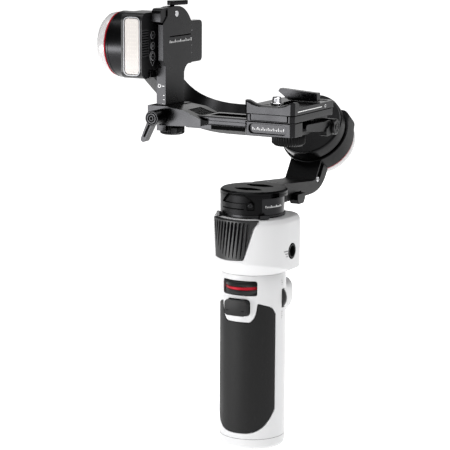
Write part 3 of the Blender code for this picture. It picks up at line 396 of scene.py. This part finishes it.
# ---------------------------------------------------------------- grille

GRILLE_ENDS = (-43.8, 34.6)
GRILLE_LOW, GRILLE_TOP = 129.0, 154.8
GRILLE_BACK = 24.95
RIB_RADIUS, GAP_RADIUS = 27.3, 25.2
RIB_SHOULDER = 0.45
TOP_CHAMFER = 0.4

# The lower edge: a slope and then a round corner on the right, a short steep end on the left
SLOPE_START, CORNER_START, LEFT_END = 12.6, 25.5, -37
SLOPE_RISE, SLOPE_CURVE = 18.8, 1.08
CORNER_RISE, CORNER_SPAN, CORNER_CURVE = 6.8, 9.4, 0.62
LEFT_SLOPE = 3.7
FRONT_SAG, FRONT_MIDDLE, FRONT_WAVE = 0.8, -12, 3.6

GAP_ANGLES = [-37.1 + 5.85 * i for i in range(11)]
GAP_HALF_ANGLE = 1.75
GAP_MARGIN = 0.6
GAP_LEAN = 0.25
GAP_WIDEST_Z = 151.2
GAP_ROUND = 2.3
GAP_TAPER = 0.7
GAP_END_Z = 129.8
GAP_END_RISE = 0.0105
GAP_END_TURN = -5
GAP_BORDER = 0.9
NARROWEST_GAP = 0.05


def grille_bottom(angle):
    """Height of the grille's lower edge, which is nearly level in front."""
    if angle > CORNER_START:
        return GRILLE_LOW + SLOPE_RISE + CORNER_RISE * ((angle - CORNER_START) / CORNER_SPAN) ** CORNER_CURVE
    if angle > SLOPE_START:
        part = (angle - SLOPE_START) / (CORNER_START - SLOPE_START)
        return GRILLE_LOW + SLOPE_RISE * part ** SLOPE_CURVE
    if angle < LEFT_END:
        return GRILLE_LOW + LEFT_SLOPE * (LEFT_END - angle)
    return GRILLE_LOW - FRONT_SAG * math.cos(math.radians((angle - FRONT_MIDDLE) * FRONT_WAVE))


def gap_end(angle):
    """Height of a gap's pointed lower end."""
    rise = GAP_END_RISE * max(0.0, GAP_END_TURN - angle) ** 2
    return max(GAP_END_Z + rise, grille_bottom(angle) + GAP_BORDER)


def grille_radius(angle, z):
    """Leaning ribs with gaps that are round at the top and run to a point below."""
    upright = angle + GAP_LEAN * (GRILLE_TOP - z)
    for centre in GAP_ANGLES:
        across = abs(upright - centre)
        if across > GAP_HALF_ANGLE + GAP_MARGIN:
            continue
        if z > GAP_WIDEST_Z:
            share = math.sqrt(max(0.0, 1 - ((z - GAP_WIDEST_Z) / GAP_ROUND) ** 2))
        else:
            end = gap_end(angle)
            share = max(0.0, (z - end) / (GAP_WIDEST_Z - end)) ** GAP_TAPER
        half = GAP_HALF_ANGLE * share
        if half <= NARROWEST_GAP:
            return RIB_RADIUS
        outside = min(1.0, max(0.0, (across - half) / RIB_SHOULDER))
        return GAP_RADIUS + (RIB_RADIUS - GAP_RADIUS) * math.sqrt(outside)
    return RIB_RADIUS


def build_grille():
    """The head's vent grille, with its leaning ribs cut in."""
    columns, rows = 330, 60
    rings = []
    for angle in spaced(*GRILLE_ENDS, columns):
        low = grille_bottom(angle)
        side = [(GRILLE_BACK, low)]
        side += [(grille_radius(angle, z), z) for z in spaced(low, GRILLE_TOP - TOP_CHAMFER, rows)]
        side += [(RIB_RADIUS - TOP_CHAMFER, GRILLE_TOP), (GRILLE_BACK, GRILLE_TOP)]
        t = math.radians(angle)
        rings.append([(radius * math.sin(t), -radius * math.cos(t), z) for radius, z in side])
    made = rings_piece("grille_ribs", rings, BLACK, "handle", "black_plastic", crease=ROUND_ANGLE)
    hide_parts("vent_grille")


# ---------------------------------------------------------------- handle details

JOINT_DEPTH = (21.5, 21.83)


def build_front_dial():
    """The knurled wheel in the front window, with a red band in its groove."""
    low, high, radius, centre = 104.8, 113.6, 12.6, (0, -11.1)
    middle = (low + high) / 2
    bore, half, floor = 1.5, 1.15, radius - 1.0
    profile = [(bore, low), (radius - 0.7, low), (radius, low + 0.6), (radius, middle - half),
               (floor, middle - half), (floor, middle + half), (radius, middle + half),
               (radius, high - 0.6), (radius - 0.7, high), (bore, high)]
    wheel = knurled("dial_wheel", profile, "Z", centre, BLACK, "front_dial", "black_plastic",
                    rim=radius - 0.1, teeth=92, depth=0.45)
    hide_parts("front_dial")
    profile = [(radius - 1.1, middle - 1.0), (radius - 0.35, middle - 1.0), (radius - 0.1, middle - 0.7),
               (radius - 0.1, middle + 0.7), (radius - 0.35, middle + 1.0), (radius - 1.1, middle + 1.0)]
    band = turned("dial_band", profile, "Z", centre, RED, "front_dial", "red_trim", segments=96)
    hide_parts("front_dial_ring")


def build_mode_dial():
    """The knurled wheel that looks out at the side of the handle."""
    centre, radius = (15.1, 100.7), 8.8
    front, back, chamfer = -0.5, 3.1, 0.5
    profile = [(0.6, front), (radius - chamfer, front), (radius, -0.1), (radius, 2.7),
               (radius - chamfer, back), (0.6, back)]
    wheel = knurled("mode_wheel", profile, "Y", centre, BLACK, "mode_dial", "black_plastic",
                    rim=radius - 0.1, teeth=64, depth=0.35)
    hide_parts("mode_dial")


def build_side_thread():
    """The threaded bush in the head's side in near-black painted shade, with a disc of painted shade at the
    bottom of its hole and three plain printed lines beside it.
    """
    centre = (3.2, 132.3)
    inside = thread_profile(radius=2.95, depth=0.3, low=20.6, high=26.3, turns=7)
    profile = [(5.1, 20.4), (3.4, 20.4)] + inside + [(3.6, 27.05), (4.7, 27.05), (5.1, 26.8)]
    # The thread is near-black without reflection, which is painted shade in its hole.
    made = turned("side_thread", profile, "X", centre, DARK, "handle", "black_plastic", segments=72)
    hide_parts("side_thread_insert")
    # A disc of painted shade at the hole's floor.
    flat_ring("side_thread_floor_shade", 0.1, 3.3, 20.5, 21.4, "X", centre, DARK, "handle", "black_plastic")
    turned("side_thread_rim", [(3.7, 26.9), (3.9, 27.1), (4.3, 27.1), (4.5, 26.9)], "X", centre, BLACK,
           "handle", "black_plastic", segments=72)
    blocks = []
    for z, first in ((133.0, 0), (131.2, 1), (129.4, 2)):
        for step in range(first, 4):
            blocks.append(((26.0 + 0.1 * step, -6.6 + step, z), (26.42 + 0.17 * step, -5.6 + step, z + 0.35)))
    boxes("thread_marks", blocks, PRINT_GREY, "handle", "white_shell")


def build_trigger_line():
    """The fine line across the trigger, a little below its middle."""
    outline = round_box((-6.6, 94.6), (6.6, 94.95), radius=0.15, count=3)
    slab("trigger_line", outline, "Y", -25.6, -24.4, DARK, "trigger", "black_plastic")


def build_display():
    """Lit bars and dots on the display at the back."""
    face, rise = 24.3, 0.04
    bars = [((-4.6, 79.0), (4.6, 80.0)), ((-4.6, 81.6), (2.2, 82.6)), ((-4.6, 84.2), (-0.6, 85.2))]
    marks("display_bars", "Y", face, bars, SCREEN, "handle", "display_glass", rise=rise)
    dots = [((x, 87.0), (x + 0.9, 87.9)) for x in (-4.6, -2.8, -1.0, 3.7)]
    marks("display_dots", "Y", face, dots, SCREEN, "handle", "display_glass", rise=rise)


def build_joystick_details():
    """The gaiter round the joystick's stem and the ring on its cap."""
    centre = (0, 101.0)
    folds = [(2.9, 22.6), (6.0, 22.6), (6.0, 24.6), (5.6, 24.9), (5.0, 24.3), (4.4, 24.6), (3.7, 24.0),
             (3.2, 24.2), (2.9, 23.9)]
    turned("joystick_gaiter", folds, "Y", centre, BLACK, "joystick_yoke", "black_plastic")
    turned("stick_ring", [(3.0, 28.75), (3.4, 28.95), (3.8, 29.3), (3.9, 29.1), (3.2, 28.5)], "Y", centre,
           BLACK, "joystick_cap", "black_plastic")


def build_back_button_marks():
    """A ring on the record button, and a bar in an open ring on the power button."""
    low, high = 25.9, 26.06
    flat_ring("record_mark", 0.9, 1.5, low, high, "Y", (-11.5, 104.5), INK, "record_button", "red_trim",
              segments=32)
    boxes("power_mark", [((11.35, low, 104.9), (11.65, high, 106.3))], INK, "power_button", "black_plastic")
    inner, outer = (arc((11.5, 104.4), radius, count=25, start=120, sweep=300.0) for radius in (1.25, 1.55))
    rings_piece("power_ring", band_rings(inner, outer, "Y", low, high), INK, "power_button", "black_plastic")


def build_handle_lines():
    """Fine joint lines between the shell's mouldings, and the mode dial's marks."""
    wrapped("shell_joint", [(118, 242, 86.7, 86.95, *JOINT_DEPTH)], DARK, "handle", "white_shell")
    heights = (109.8, 111.2, 112.6, 91.6, 90.2, 88.8, 87.4)
    blocks = [(87.2, 88.4 + 1.6 * (i % 2), z, z + 0.5, 21.6, 21.86) for i, z in enumerate(heights)]
    wrapped("dial_marks", blocks, PRINT_GREY, "handle", "white_shell")
    blocks = [(start, start + 180, 7.3, 7.5, *JOINT_DEPTH) for start in (0, 180)]
    wrapped("base_joint", blocks, DARK, "handle", "white_shell")


def build_base_details():
    """Three screws in the base cap and the thread in its middle."""
    for number, angle in enumerate((30, 150, 270)):
        t = math.radians(angle)
        centre = (16.9 * math.cos(t), 16.9 * math.sin(t))
        turned(f"base_screw_{number}", [(0.5, -0.02), (1.4, -0.02), (1.6, 0.2), (1.6, 1.0), (0.5, 1.0)], "Z",
               centre, STEEL, "handle", "steel", segments=24)
    profile = [(4.7, 9.5), (4.7, 0.5), (4.4, 0.3), (3.3, 0.3)]
    profile += thread_profile(radius=2.65, depth=0.3, low=0.7, high=9.0, turns=8)
    made = turned("base_thread", profile, "Z", (0, 0), BRASS, "handle", "brass", segments=48)
    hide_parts("base_thread_insert")


# ---------------------------------------------------------------- pan and roll stage details

CAN_RADIUS = 20.2
WINDOW_FLOOR = 20.85
WINDOW_LEFT, WINDOW_RIGHT = -20.7, 9.8
WINDOW_TOP = 171.3
LOCK_KNOB_TURN = 22.3


def build_can_ticks():
    """A row of marks on the fixed can beside the arm's skirt."""
    low = 162.0
    blocks = [(angle, angle + 1.1, low, low + tall, CAN_RADIUS - 0.1, CAN_RADIUS + 0.06)
              for angle, tall in ticks(50, 88, count=14, every=4, tall=1.5, short=0.9)]
    wrapped("can_ticks", blocks, INK, "handle", "arm_metal")


def build_window_reveal():
    """Painted shadow along the upper and right-hand edges inside the window in the pan arm's skirt."""
    blocks = [(WINDOW_LEFT, 11.0, 170.5, 171.25, WINDOW_FLOOR, WINDOW_FLOOR + 0.6)]
    for angle in spaced(11.0, 26.0, 7)[:-1]:
        high = WINDOW_TOP - 4.9 * (angle - WINDOW_RIGHT) / 17.5
        blocks.append((angle, angle + 2.5, high - 1.15, high - 0.3, WINDOW_FLOOR, WINDOW_FLOOR + 0.6))
    for angle in spaced(-36.0, -21.0, 6)[:-1]:
        high = WINDOW_TOP - 6.0 * (WINDOW_LEFT - angle) / 18.3
        blocks.append((angle, angle + 3.0, high - 0.7, high - 0.1, WINDOW_FLOOR, WINDOW_FLOOR + 0.4))
    blocks.append((27.2, 28.7, 161.1, 165.6, WINDOW_FLOOR, WINDOW_FLOOR + 0.5))
    wrapped("window_painted_shadow", blocks, DARK, "pan_arm", "arm_metal")


def build_pan_arm_details():
    """Painted shade along a groove's floor and in a screw socket, a groove line and ticks on the pan arm, and
    a ring on its lock's knob.
    """
    # Painted shade along the floor of the band's groove.
    wrapped("band_groove_shade", [(-36.8, 10.8, 161.1, 161.7, 21.3, 21.7)], DARK, "pan_arm", "arm_metal")
    turned("lock_knob_ring", [(0.5, -23.8), (1.3, -23.8), (1.45, -23.95), (1.2, -24.1), (0.5, -24.1)], "Y",
           (0, 164.4), ARM, "pan_axis_lock", "arm_metal", segments=32,
           place=Matrix.Rotation(math.radians(LOCK_KNOB_TURN), 4, "Z"))
    blocks = [(start, end, 170.0, 170.2, 22.0, 22.24) for start, end in ((-172, 0), (0, 140))]
    wrapped("cap_joint", blocks, DARK, "pan_arm", "arm_metal")
    front = 24.2
    blocks = [((x, front, 172.6), (x + 0.35, front + tall, 172.72))
              for x, tall in ticks(-3.0, 3.0, count=7, every=3, tall=1.4, short=0.8)]
    boxes("arm_ticks", blocks, INK, "pan_arm", "arm_metal")
    # Painted shade in the screw's socket.
    flat_ring("arm_screw_socket_shade", 0.25, 1.0, 11.3, 11.62, "X", (112.1, -35.0), DARK, "pan_arm", "steel",
              segments=6, place=ROLL_FRAME)


def build_tilt_can_line():
    """A fine groove round the tilt motor's housing."""
    flat_ring("tilt_can_line", 22.0, 22.24, -99.0, -98.75, "X", (0, AXES_CROSS_Z), DARK, "roll_arm",
              "arm_metal", segments=96)


# ---------------------------------------------------------------- fill light details

LIGHT_SIDE = -70.0
BUTTON_ROWS = (("light_button_1", 270.0), ("light_button_2", 262.9), ("light_button_3", 255.8))
BUTTON_Y = -12.4
BUTTON_FACE = LIGHT_SIDE + 0.3
RIB_Y = (-25.4, -17.6)
RIB_COUNT = 11
DROP_POINTS = 48


def build_light_ribs():
    """Ribs on the light's side, lighter as a painted highlight, with painted shade in the gaps between them.
    """
    front, back = RIB_Y
    heights = spaced(256.8, 273.6, RIB_COUNT)
    ribs = [((LIGHT_SIDE - 0.3, front, z - 0.42), (LIGHT_SIDE + 0.34, back, z + 0.42)) for z in heights]
    # The ribs take a lighter grey, which is a painted highlight.
    boxes("light_ribs", ribs, RIB_HIGHLIGHT_GREY, "roll_arm", "black_plastic", edge=0.22)
    # Painted shade in the gaps between the ribs.
    gaps = [((LIGHT_SIDE - 0.3, front, z + 0.5), (LIGHT_SIDE + 0.03, back, z + 1.18)) for z in heights[:-1]]
    boxes("rib_gap_shade", gaps, DARK, "roll_arm", "black_plastic")


def build_light_button_marks():
    """A ring round each light button, with a plus, a dot or a minus inside."""
    face = BUTTON_FACE
    for name, z in BUTTON_ROWS:
        flat_ring(f"{name}_ring", 2.25, 2.6, face - 0.1, face + MARK_RISE, "X", (BUTTON_Y, z), GREY_INK, name,
                  "black_plastic", segments=48)
    plus = [((-13.2, 269.85), (-11.6, 270.15)), ((-12.55, 269.2), (-12.25, 270.8))]
    marks("brighter_mark", "X", face, plus, GREY_INK, "light_button_1", "black_plastic", sink=0)
    flat_ring("colour_mark", 0.5, 0.9, face, face + MARK_RISE, "X", (BUTTON_Y, 262.9), GREY_INK,
              "light_button_2", "black_plastic", segments=24)
    minus = [((-13.2, 255.65), (-11.6, 255.95))]
    marks("dimmer_mark", "X", face, minus, GREY_INK, "light_button_3", "black_plastic", sink=0)


def drop(radius):
    """A drop's outline round the lowest button, pointed below."""
    points = []
    for i in range(DROP_POINTS):
        t = 2 * math.pi * i / DROP_POINTS
        point = 1.0 + 0.75 * max(0.0, -math.sin(t)) ** 6
        points.append((BUTTON_Y + radius * math.cos(t), 255.8 + radius * point * math.sin(t)))
    return points


def build_light_face():
    """The drop-shaped outline by the buttons, and the cells under the diffuser."""
    rings = band_rings(drop(3.25), drop(3.55), "X", LIGHT_SIDE - 0.1, LIGHT_SIDE + MARK_RISE)
    hoop("drop_outline", rings, GREY_INK, "roll_arm", "black_plastic")
    cells = [((x, -26.24, z), (x + 0.9, -26.1, z + 0.9))
             for x in spaced(-80.6, -75.2, 4) for z in spaced(247.0, 278.4, 13)]
    boxes("lamp_cells", cells, LAMP_CELL, "roll_arm", "diffuser")


# ---------------------------------------------------------------- tilt stage and carriage details

def build_plate_marks():
    """Scales and painted shade in a slot on the vertical plate, and lines on the tilt rail."""
    face, low = -60.0, 264.6
    scale = [((y, low), (y + 0.5, low + tall))
             for y, tall in ticks(-6.8, 21.0, count=17, every=4, tall=2.0, short=1.1)]
    marks("plate_ticks", "X", face, scale, INK, "vertical_plate", "arm_metal")
    # Painted shade on the slot's floor.
    boxes("plate_slot_shade", [((face - 0.55, -6.6, 268.6), (face - 0.4, 21.6, 269.2))], DARK,
          "vertical_plate", "arm_metal")
    front, right = -12.2, -60.9
    heights = ((236.5, 1.7), (230.4, 1.1), (227.6, 1.1), (224.8, 1.7), (218.6, 1.1))
    scale = [((right - wide, z), (right, z + 0.4)) for z, wide in heights]
    marks("height_ticks", "Y", front, scale, INK, "vertical_plate", "arm_metal")
    flat_ring("zero_ring", 0.85, 1.25, front - MARK_SINK, front + MARK_RISE, "Y", (-64.8, 236.7), INK,
              "vertical_plate", "arm_metal", segments=32)
    lines = [((25.6, z), (26.0 + 3.5 * (i % 2), z + 0.25)) for i, z in enumerate(spaced(253.0, 273.0, 9))]
    marks("rail_lines", "X", -64.0, lines, GREY_INK, "tilt_arm", "arm_metal", rise=0.04)


def build_clamp_details():
    """Rings and the socket screw on the height lever's hub with painted shade in its grooves and socket, and
    painted shade in the inset in its blade.
    """
    centre = (-61.5, 217.0)
    turned("hub_ring", [(2.5, -28.1), (2.7, -28.35), (3.25, -28.35), (3.45, -28.1), (3.0, -27.7)], "Y",
           centre, ARM, "height_lever", "arm_metal")
    # Painted shade in the hub's two grooves.
    for number, radius in enumerate((1.85, 3.5)):
        flat_ring(f"hub_groove_shade_{number}", radius, radius + 0.6, -27.4, -28.12, "Y", centre, DARK,
                  "height_lever", "arm_metal")
    turned("hub_screw", [(0.9, -27.8), (1.1, -28.3), (1.5, -28.3), (1.7, -28.05), (1.7, -27.6), (0.9, -27.6)],
           "Y", centre, ARM, "height_lever", "steel", segments=48)
    # Painted shade in the screw's socket.
    turned("hub_socket_shade", [(0.04, -28.1), (1.05, -28.16), (1.05, -27.6), (0.04, -27.6)], "Y", centre, DARK,
           "height_lever", "steel", segments=32)
    start, end = Vector((-63.6, 0, 212.4)), Vector((-67.5, 0, 204.4))
    along = (end - start).normalized()
    side = Vector((along.z, 0, -along.x)) * 0.75
    outline = [(p.x, p.z) for p in (start + side, end + side, end - side, start - side)]
    # Painted shade in the blade's inset.
    slab("blade_inset_shade", outline, "Y", -27.75, -27.4, DARK, "height_lever", "arm_metal")


def build_foot():
    """The knurled barrel over the plate's foot and a small stop block, both in darker painted-shade copies of
    the anodised finish, and sheets of painted shade on the cross arm's lower flanks.
    """
    profile = [(0.5, 204.5), (7.9, 204.5), (8.2, 204.9), (8.2, 209.6), (7.9, 209.9), (0.5, 209.9)]
    # The barrel takes the darker satin anodised copy, which is painted shade.
    knurled("foot_barrel", profile, "Z", (-61.5, -1.0), ARM_SATIN_PAINTED_SHADE, "vertical_plate", "arm_metal",
            rim=8.1, teeth=40, depth=0.4)
    # The stop takes the darkest anodised copy, which is painted shade.
    boxes("foot_stop", [((-57.6, -9.9, 205.4), (-52.4, -4.0, 209.4))], ARM_PAINTED_SHADE, "vertical_plate",
          "arm_metal", edge=0.5)
    # Painted shade on the cross arm's recessed lower flanks.
    shade_sheets = [((-27.0, low, 210.3), (37.2, high, 212.9)) for low, high in ((-9.85, -9.5), (9.5, 9.85))]
    boxes("rail_flank_shade", shade_sheets, DARK, "cross_arm", "arm_metal", edge=0.05)


GRID_CORNERS = ((-44.4, -9.8), (-33.4, -7.8), (-32.6, 11.2), (-44.4, 6.4))
BAR_DEPTH, BAR_HALF = 0.6, 0.24
BAR_SINK = 0.35


def wedge_top(x):
    """Height of the cross arm's top, which slopes more steeply past a bend."""
    bend, high = -44, 222.1
    if x < bend:
        return 223.7 + (x + 57) * (high - 223.7) / 13
    return high + (x - bend) * (216.9 - high) / 12.5


def bar(points, sideways):
    """Sections of a bar through points of its middle line, a little below the arm's top."""
    rings = []
    for p in points:
        z = wedge_top(p.x) - BAR_SINK
        a, b = p - sideways * BAR_HALF, p + sideways * BAR_HALF
        rings.append([(a.x, a.y, z - BAR_DEPTH), (b.x, b.y, z - BAR_DEPTH), (b.x, b.y, z), (a.x, a.y, z)])
    return rings


def build_grid():
    """The fine lattice over the recess in the cross arm's top, following its slope, over a sheet of painted
    shade.
    """
    front_left, front_right, rear_right, rear_left = (Vector(corner) for corner in GRID_CORNERS)
    # Painted shade on the recess floor under the lattice.
    slab("grid_recess_shade", [(x + 0.1, y) for x, y in GRID_CORNERS], "Z", 215.25, 215.45, DARK, "cross_arm",
         "arm_metal")
    for number, part in enumerate(spaced(0.1, 0.9, 7)):
        start, end = front_left.lerp(rear_left, part), front_right.lerp(rear_right, part)
        middle = [start.lerp(end, q) for q in spaced(0, 1, 8)]
        rings_piece(f"grid_long_{number}", bar(middle, Vector((0, 1))), ARM, "cross_arm", "arm_metal")
    for number, part in enumerate(spaced(0.12, 0.88, 5)):
        start, end = front_left.lerp(front_right, part), rear_left.lerp(rear_right, part)
        rings_piece(f"grid_cross_{number}", bar([start, end], Vector((1, 0))), ARM, "cross_arm", "arm_metal")


# ---------------------------------------------------------------- quick release details

QR_LEFT, QR_RIGHT = 7.9, 43.4
QR_FRONT = -30.0


def build_quick_release_marks():
    """The scale in the base's front recess, and the line and small square on the plate's side."""
    low = 214.9
    scale = [((x, low), (x + 0.45, low + tall))
             for x, tall in ticks(13.6, 35.6, count=19, every=3, tall=1.9, short=1.0)]
    marks("base_ticks", "Y", QR_FRONT + 1.6, scale, INK, "qr_base", "arm_metal")
    marks("side_line", "X", QR_RIGHT, [((-24.0, 227.2), (10.5, 227.65))], INK, "qr_plate", "arm_metal",
          rise=0.04)
    square = [((14.6, 226.6), (14.9, 228.4)), ((16.3, 226.6), (16.6, 228.4)),
              ((14.6, 228.1), (16.6, 228.4)), ((14.6, 226.6), (16.6, 226.9))]
    marks("side_mark", "X", QR_RIGHT, square, INK, "qr_plate", "arm_metal", rise=0.04)


def build_quick_release_plate():
    """Rubber pads on the plate and the dark seam round its lower edge."""
    pads = [((x0, y, 229.6), (x1, y + 3.0, 230.15)) for x0, x1 in ((10.6, 19.2), (30.4, 40.4))
            for y in (-19.0, 22.5)]
    boxes("plate_pads", pads, GRIP_PAD, "qr_plate", "arm_metal", edge=0.15)
    front, back = QR_FRONT, 24.0
    outline = [(QR_LEFT - 0.04, -27.6), (QR_LEFT + 2.3, front - 0.04), (QR_RIGHT - 2.3, front - 0.04),
               (QR_RIGHT + 0.04, -27.7), (QR_RIGHT + 0.04, back), (QR_RIGHT - 0.3, back),
               (QR_RIGHT - 0.3, -27.5), (QR_RIGHT - 2.5, front + 0.3), (QR_LEFT + 2.5, front + 0.3),
               (QR_LEFT + 0.3, -27.5)]
    slab("plate_seam", outline, "Z", 225.08, 225.5, DARK, "qr_plate", "arm_metal")


def build_backstop_details():
    """Two dark plugs and a bush in the backstop."""
    for number, x in enumerate((30.5, 36.6)):
        flat_ring(f"backstop_plug_{number}", 0.3, 0.95, 10.9, 11.3, "Y", (x, 233.9), DARK, "backstop",
                  "arm_metal", segments=24)
    flat_ring("backstop_bush", 0.55, 1.6, 11.05, 15.45, "Y", (30.5, 233.2), ARM, "backstop", "arm_metal",
              segments=32)


def build_base_knob():
    """The ribbed knob under the quick-release base."""
    radius = 11.0
    profile = [(0.4, 202.3), (8.8, 202.3), (radius, 204.0), (radius, 209.0), (radius - 0.6, 209.8),
               (2.9, 209.8), (2.9, 219.8), (0.4, 219.8)]
    # The knob takes the darkest anodised copy, which is painted shade.
    knob = knurled("knob_ribs", profile, "Z", (25.0, 0.0), ARM_PAINTED_SHADE, "qr_base_knob", "arm_metal",
                   rim=radius - 0.1, teeth=36, depth=0.9)
    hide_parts("qr_base_knob")


def build_camera_screw():
    """The camera screw with its thread."""
    profile = [(0.9, 226.8), (2.9, 226.8), (2.9, 230.2), (4.1, 230.2), (4.3, 230.4), (4.3, 231.4),
               (4.1, 231.6)]
    profile += thread_profile(radius=2.8, depth=0.35, low=231.7, high=234.8, turns=4)
    profile += [(2.5, 235.4), (1.0, 235.4), (0.9, 234.0)]
    screw = turned("screw_thread", profile, "Z", (24.5, -16.0), STEEL, "camera_screw", "steel", segments=48)
    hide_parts("camera_screw")


def build_lever_hub():
    """The ring and screw on the quick-release lever's hub."""
    pivot = (27.5, 212.7)
    turned("lever_hub_ring", [(2.9, 45.8), (3.1, 46.25), (4.2, 46.25), (4.4, 45.8)], "X", pivot, ARM,
           "qr_lever", "arm_metal")
    turned("lever_hub_screw", [(0.6, 45.9), (1.7, 45.9), (1.7, 46.3), (1.5, 46.45), (0.6, 46.45)], "X", pivot,
           BLACK, "qr_lever", "steel", segments=32)


def build_details():
    """Every detail piece, from the handle up to the carriage."""
    for build in (build_grille, build_front_dial, build_mode_dial, build_side_thread, build_trigger_line,
                  build_display, build_joystick_details, build_back_button_marks, build_handle_lines,
                  build_base_details, build_can_ticks, build_window_reveal, build_pan_arm_details,
                  build_tilt_can_line, build_light_ribs, build_light_button_marks, build_light_face,
                  build_plate_marks, build_clamp_details, build_foot, build_grid, build_quick_release_marks,
                  build_quick_release_plate, build_backstop_details, build_base_knob, build_camera_screw,
                  build_lever_hub):
        build()


# ---------------------------------------------------------------- stage, light and camera

FLOOR_REACH = 14.0
FLOOR_Z = -0.0004
FLOOR_GLOW = 1.17
LIGHTS_AIM = Vector((0, 0, 0.16))
WORLD_STRENGTH = 0.12

# name: azimuth, elevation, distance in metres, width and height in metres, watts
LIGHTS = {
    "key": (-36, -4.5, 0.9, 0.6, 0.18, 5.6),
    "fill": (74, 68, 1.3, 0.8, 0.8, 19),
    "top": (-60, 72, 1.3, 0.7, 0.7, 5),
    "back": (196, 26, 1.4, 1.0, 1.0, 2.1),
}

CAMERA_AZIMUTH = 28.783
CAMERA_ELEVATION = 10.473
CAMERA_ROLL = 0.312
CAMERA_DISTANCE = 1.25
CAMERA_AIM_Z = 0.1474
CAMERA_SIDESTEP = 0.0189
FOCAL_LENGTH = 152.0
SENSOR_WIDTH = 36.0
CLIP_START = 0.05


def outward(azimuth, elevation):
    """The direction from the object toward a light or the camera, from angles in radians."""
    a, e = azimuth, elevation
    return Vector((math.sin(a) * math.cos(e), -math.cos(a) * math.cos(e), math.sin(e)))


def build_stage():
    """A plain pale floor, wide enough to fill the view behind the object."""
    reach = FLOOR_REACH
    mesh = bpy.data.meshes.new("floor")
    corners = [(-reach, -reach), (reach, -reach), (reach, reach), (-reach, reach)]
    mesh.from_pydata([(x, y, FLOOR_Z) for x, y in corners], [], [(0, 1, 2, 3)])
    floor = bpy.data.objects.new("floor", mesh)
    bpy.context.scene.collection.objects.link(floor)
    mesh.materials.append(surface("pale_floor", (0.86, 0.86, 0.86), 0.7, specular=0.1, emission=FLOOR_GLOW))


def build_lights():
    """Soft boxes placed by angles round the object, and a dim white surround."""
    world = bpy.data.worlds.new("studio")
    world.use_nodes = True
    world.node_tree.nodes["Background"].inputs["Color"].default_value = (1, 1, 1, 1)
    world.node_tree.nodes["Background"].inputs["Strength"].default_value = WORLD_STRENGTH
    bpy.context.scene.world = world
    for name, (azimuth, elevation, distance, width, height, power) in LIGHTS.items():
        back = outward(math.radians(azimuth), math.radians(elevation))
        light = bpy.data.lights.new(name, "AREA")
        light.shape = "RECTANGLE"
        light.size = width
        light.size_y = height
        light.energy = power
        holder = bpy.data.objects.new(name, light)
        holder.location = LIGHTS_AIM + back * distance
        holder.rotation_euler = back.to_track_quat("Z", "Y").to_euler()
        bpy.context.scene.collection.objects.link(holder)
    bpy.context.scene.view_settings.view_transform = "Standard"


def build_camera():
    """The camera, a little above the object's middle and to its right, with a slight roll."""
    a, e, r = (math.radians(v) for v in (CAMERA_AZIMUTH, CAMERA_ELEVATION, CAMERA_ROLL))
    side = Vector((math.cos(a), math.sin(a), 0))
    back = outward(a, e)
    up = back.cross(side)
    right = side * math.cos(r) + up * math.sin(r)
    top = up * math.cos(r) - side * math.sin(r)
    target = Vector((0, 0, CAMERA_AIM_Z)) - CAMERA_SIDESTEP * side
    lens = bpy.data.cameras.new("camera")
    lens.lens = FOCAL_LENGTH
    lens.sensor_width = SENSOR_WIDTH
    lens.clip_start = CLIP_START
    camera = bpy.data.objects.new("camera", lens)
    facing = Matrix((right, top, back)).transposed().to_4x4()
    camera.matrix_world = Matrix.Translation(target + CAMERA_DISTANCE * back) @ facing
    bpy.context.scene.collection.objects.link(camera)
    bpy.context.scene.camera = camera


dress_cad()
build_details()
build_camera()
build_stage()
build_lights()
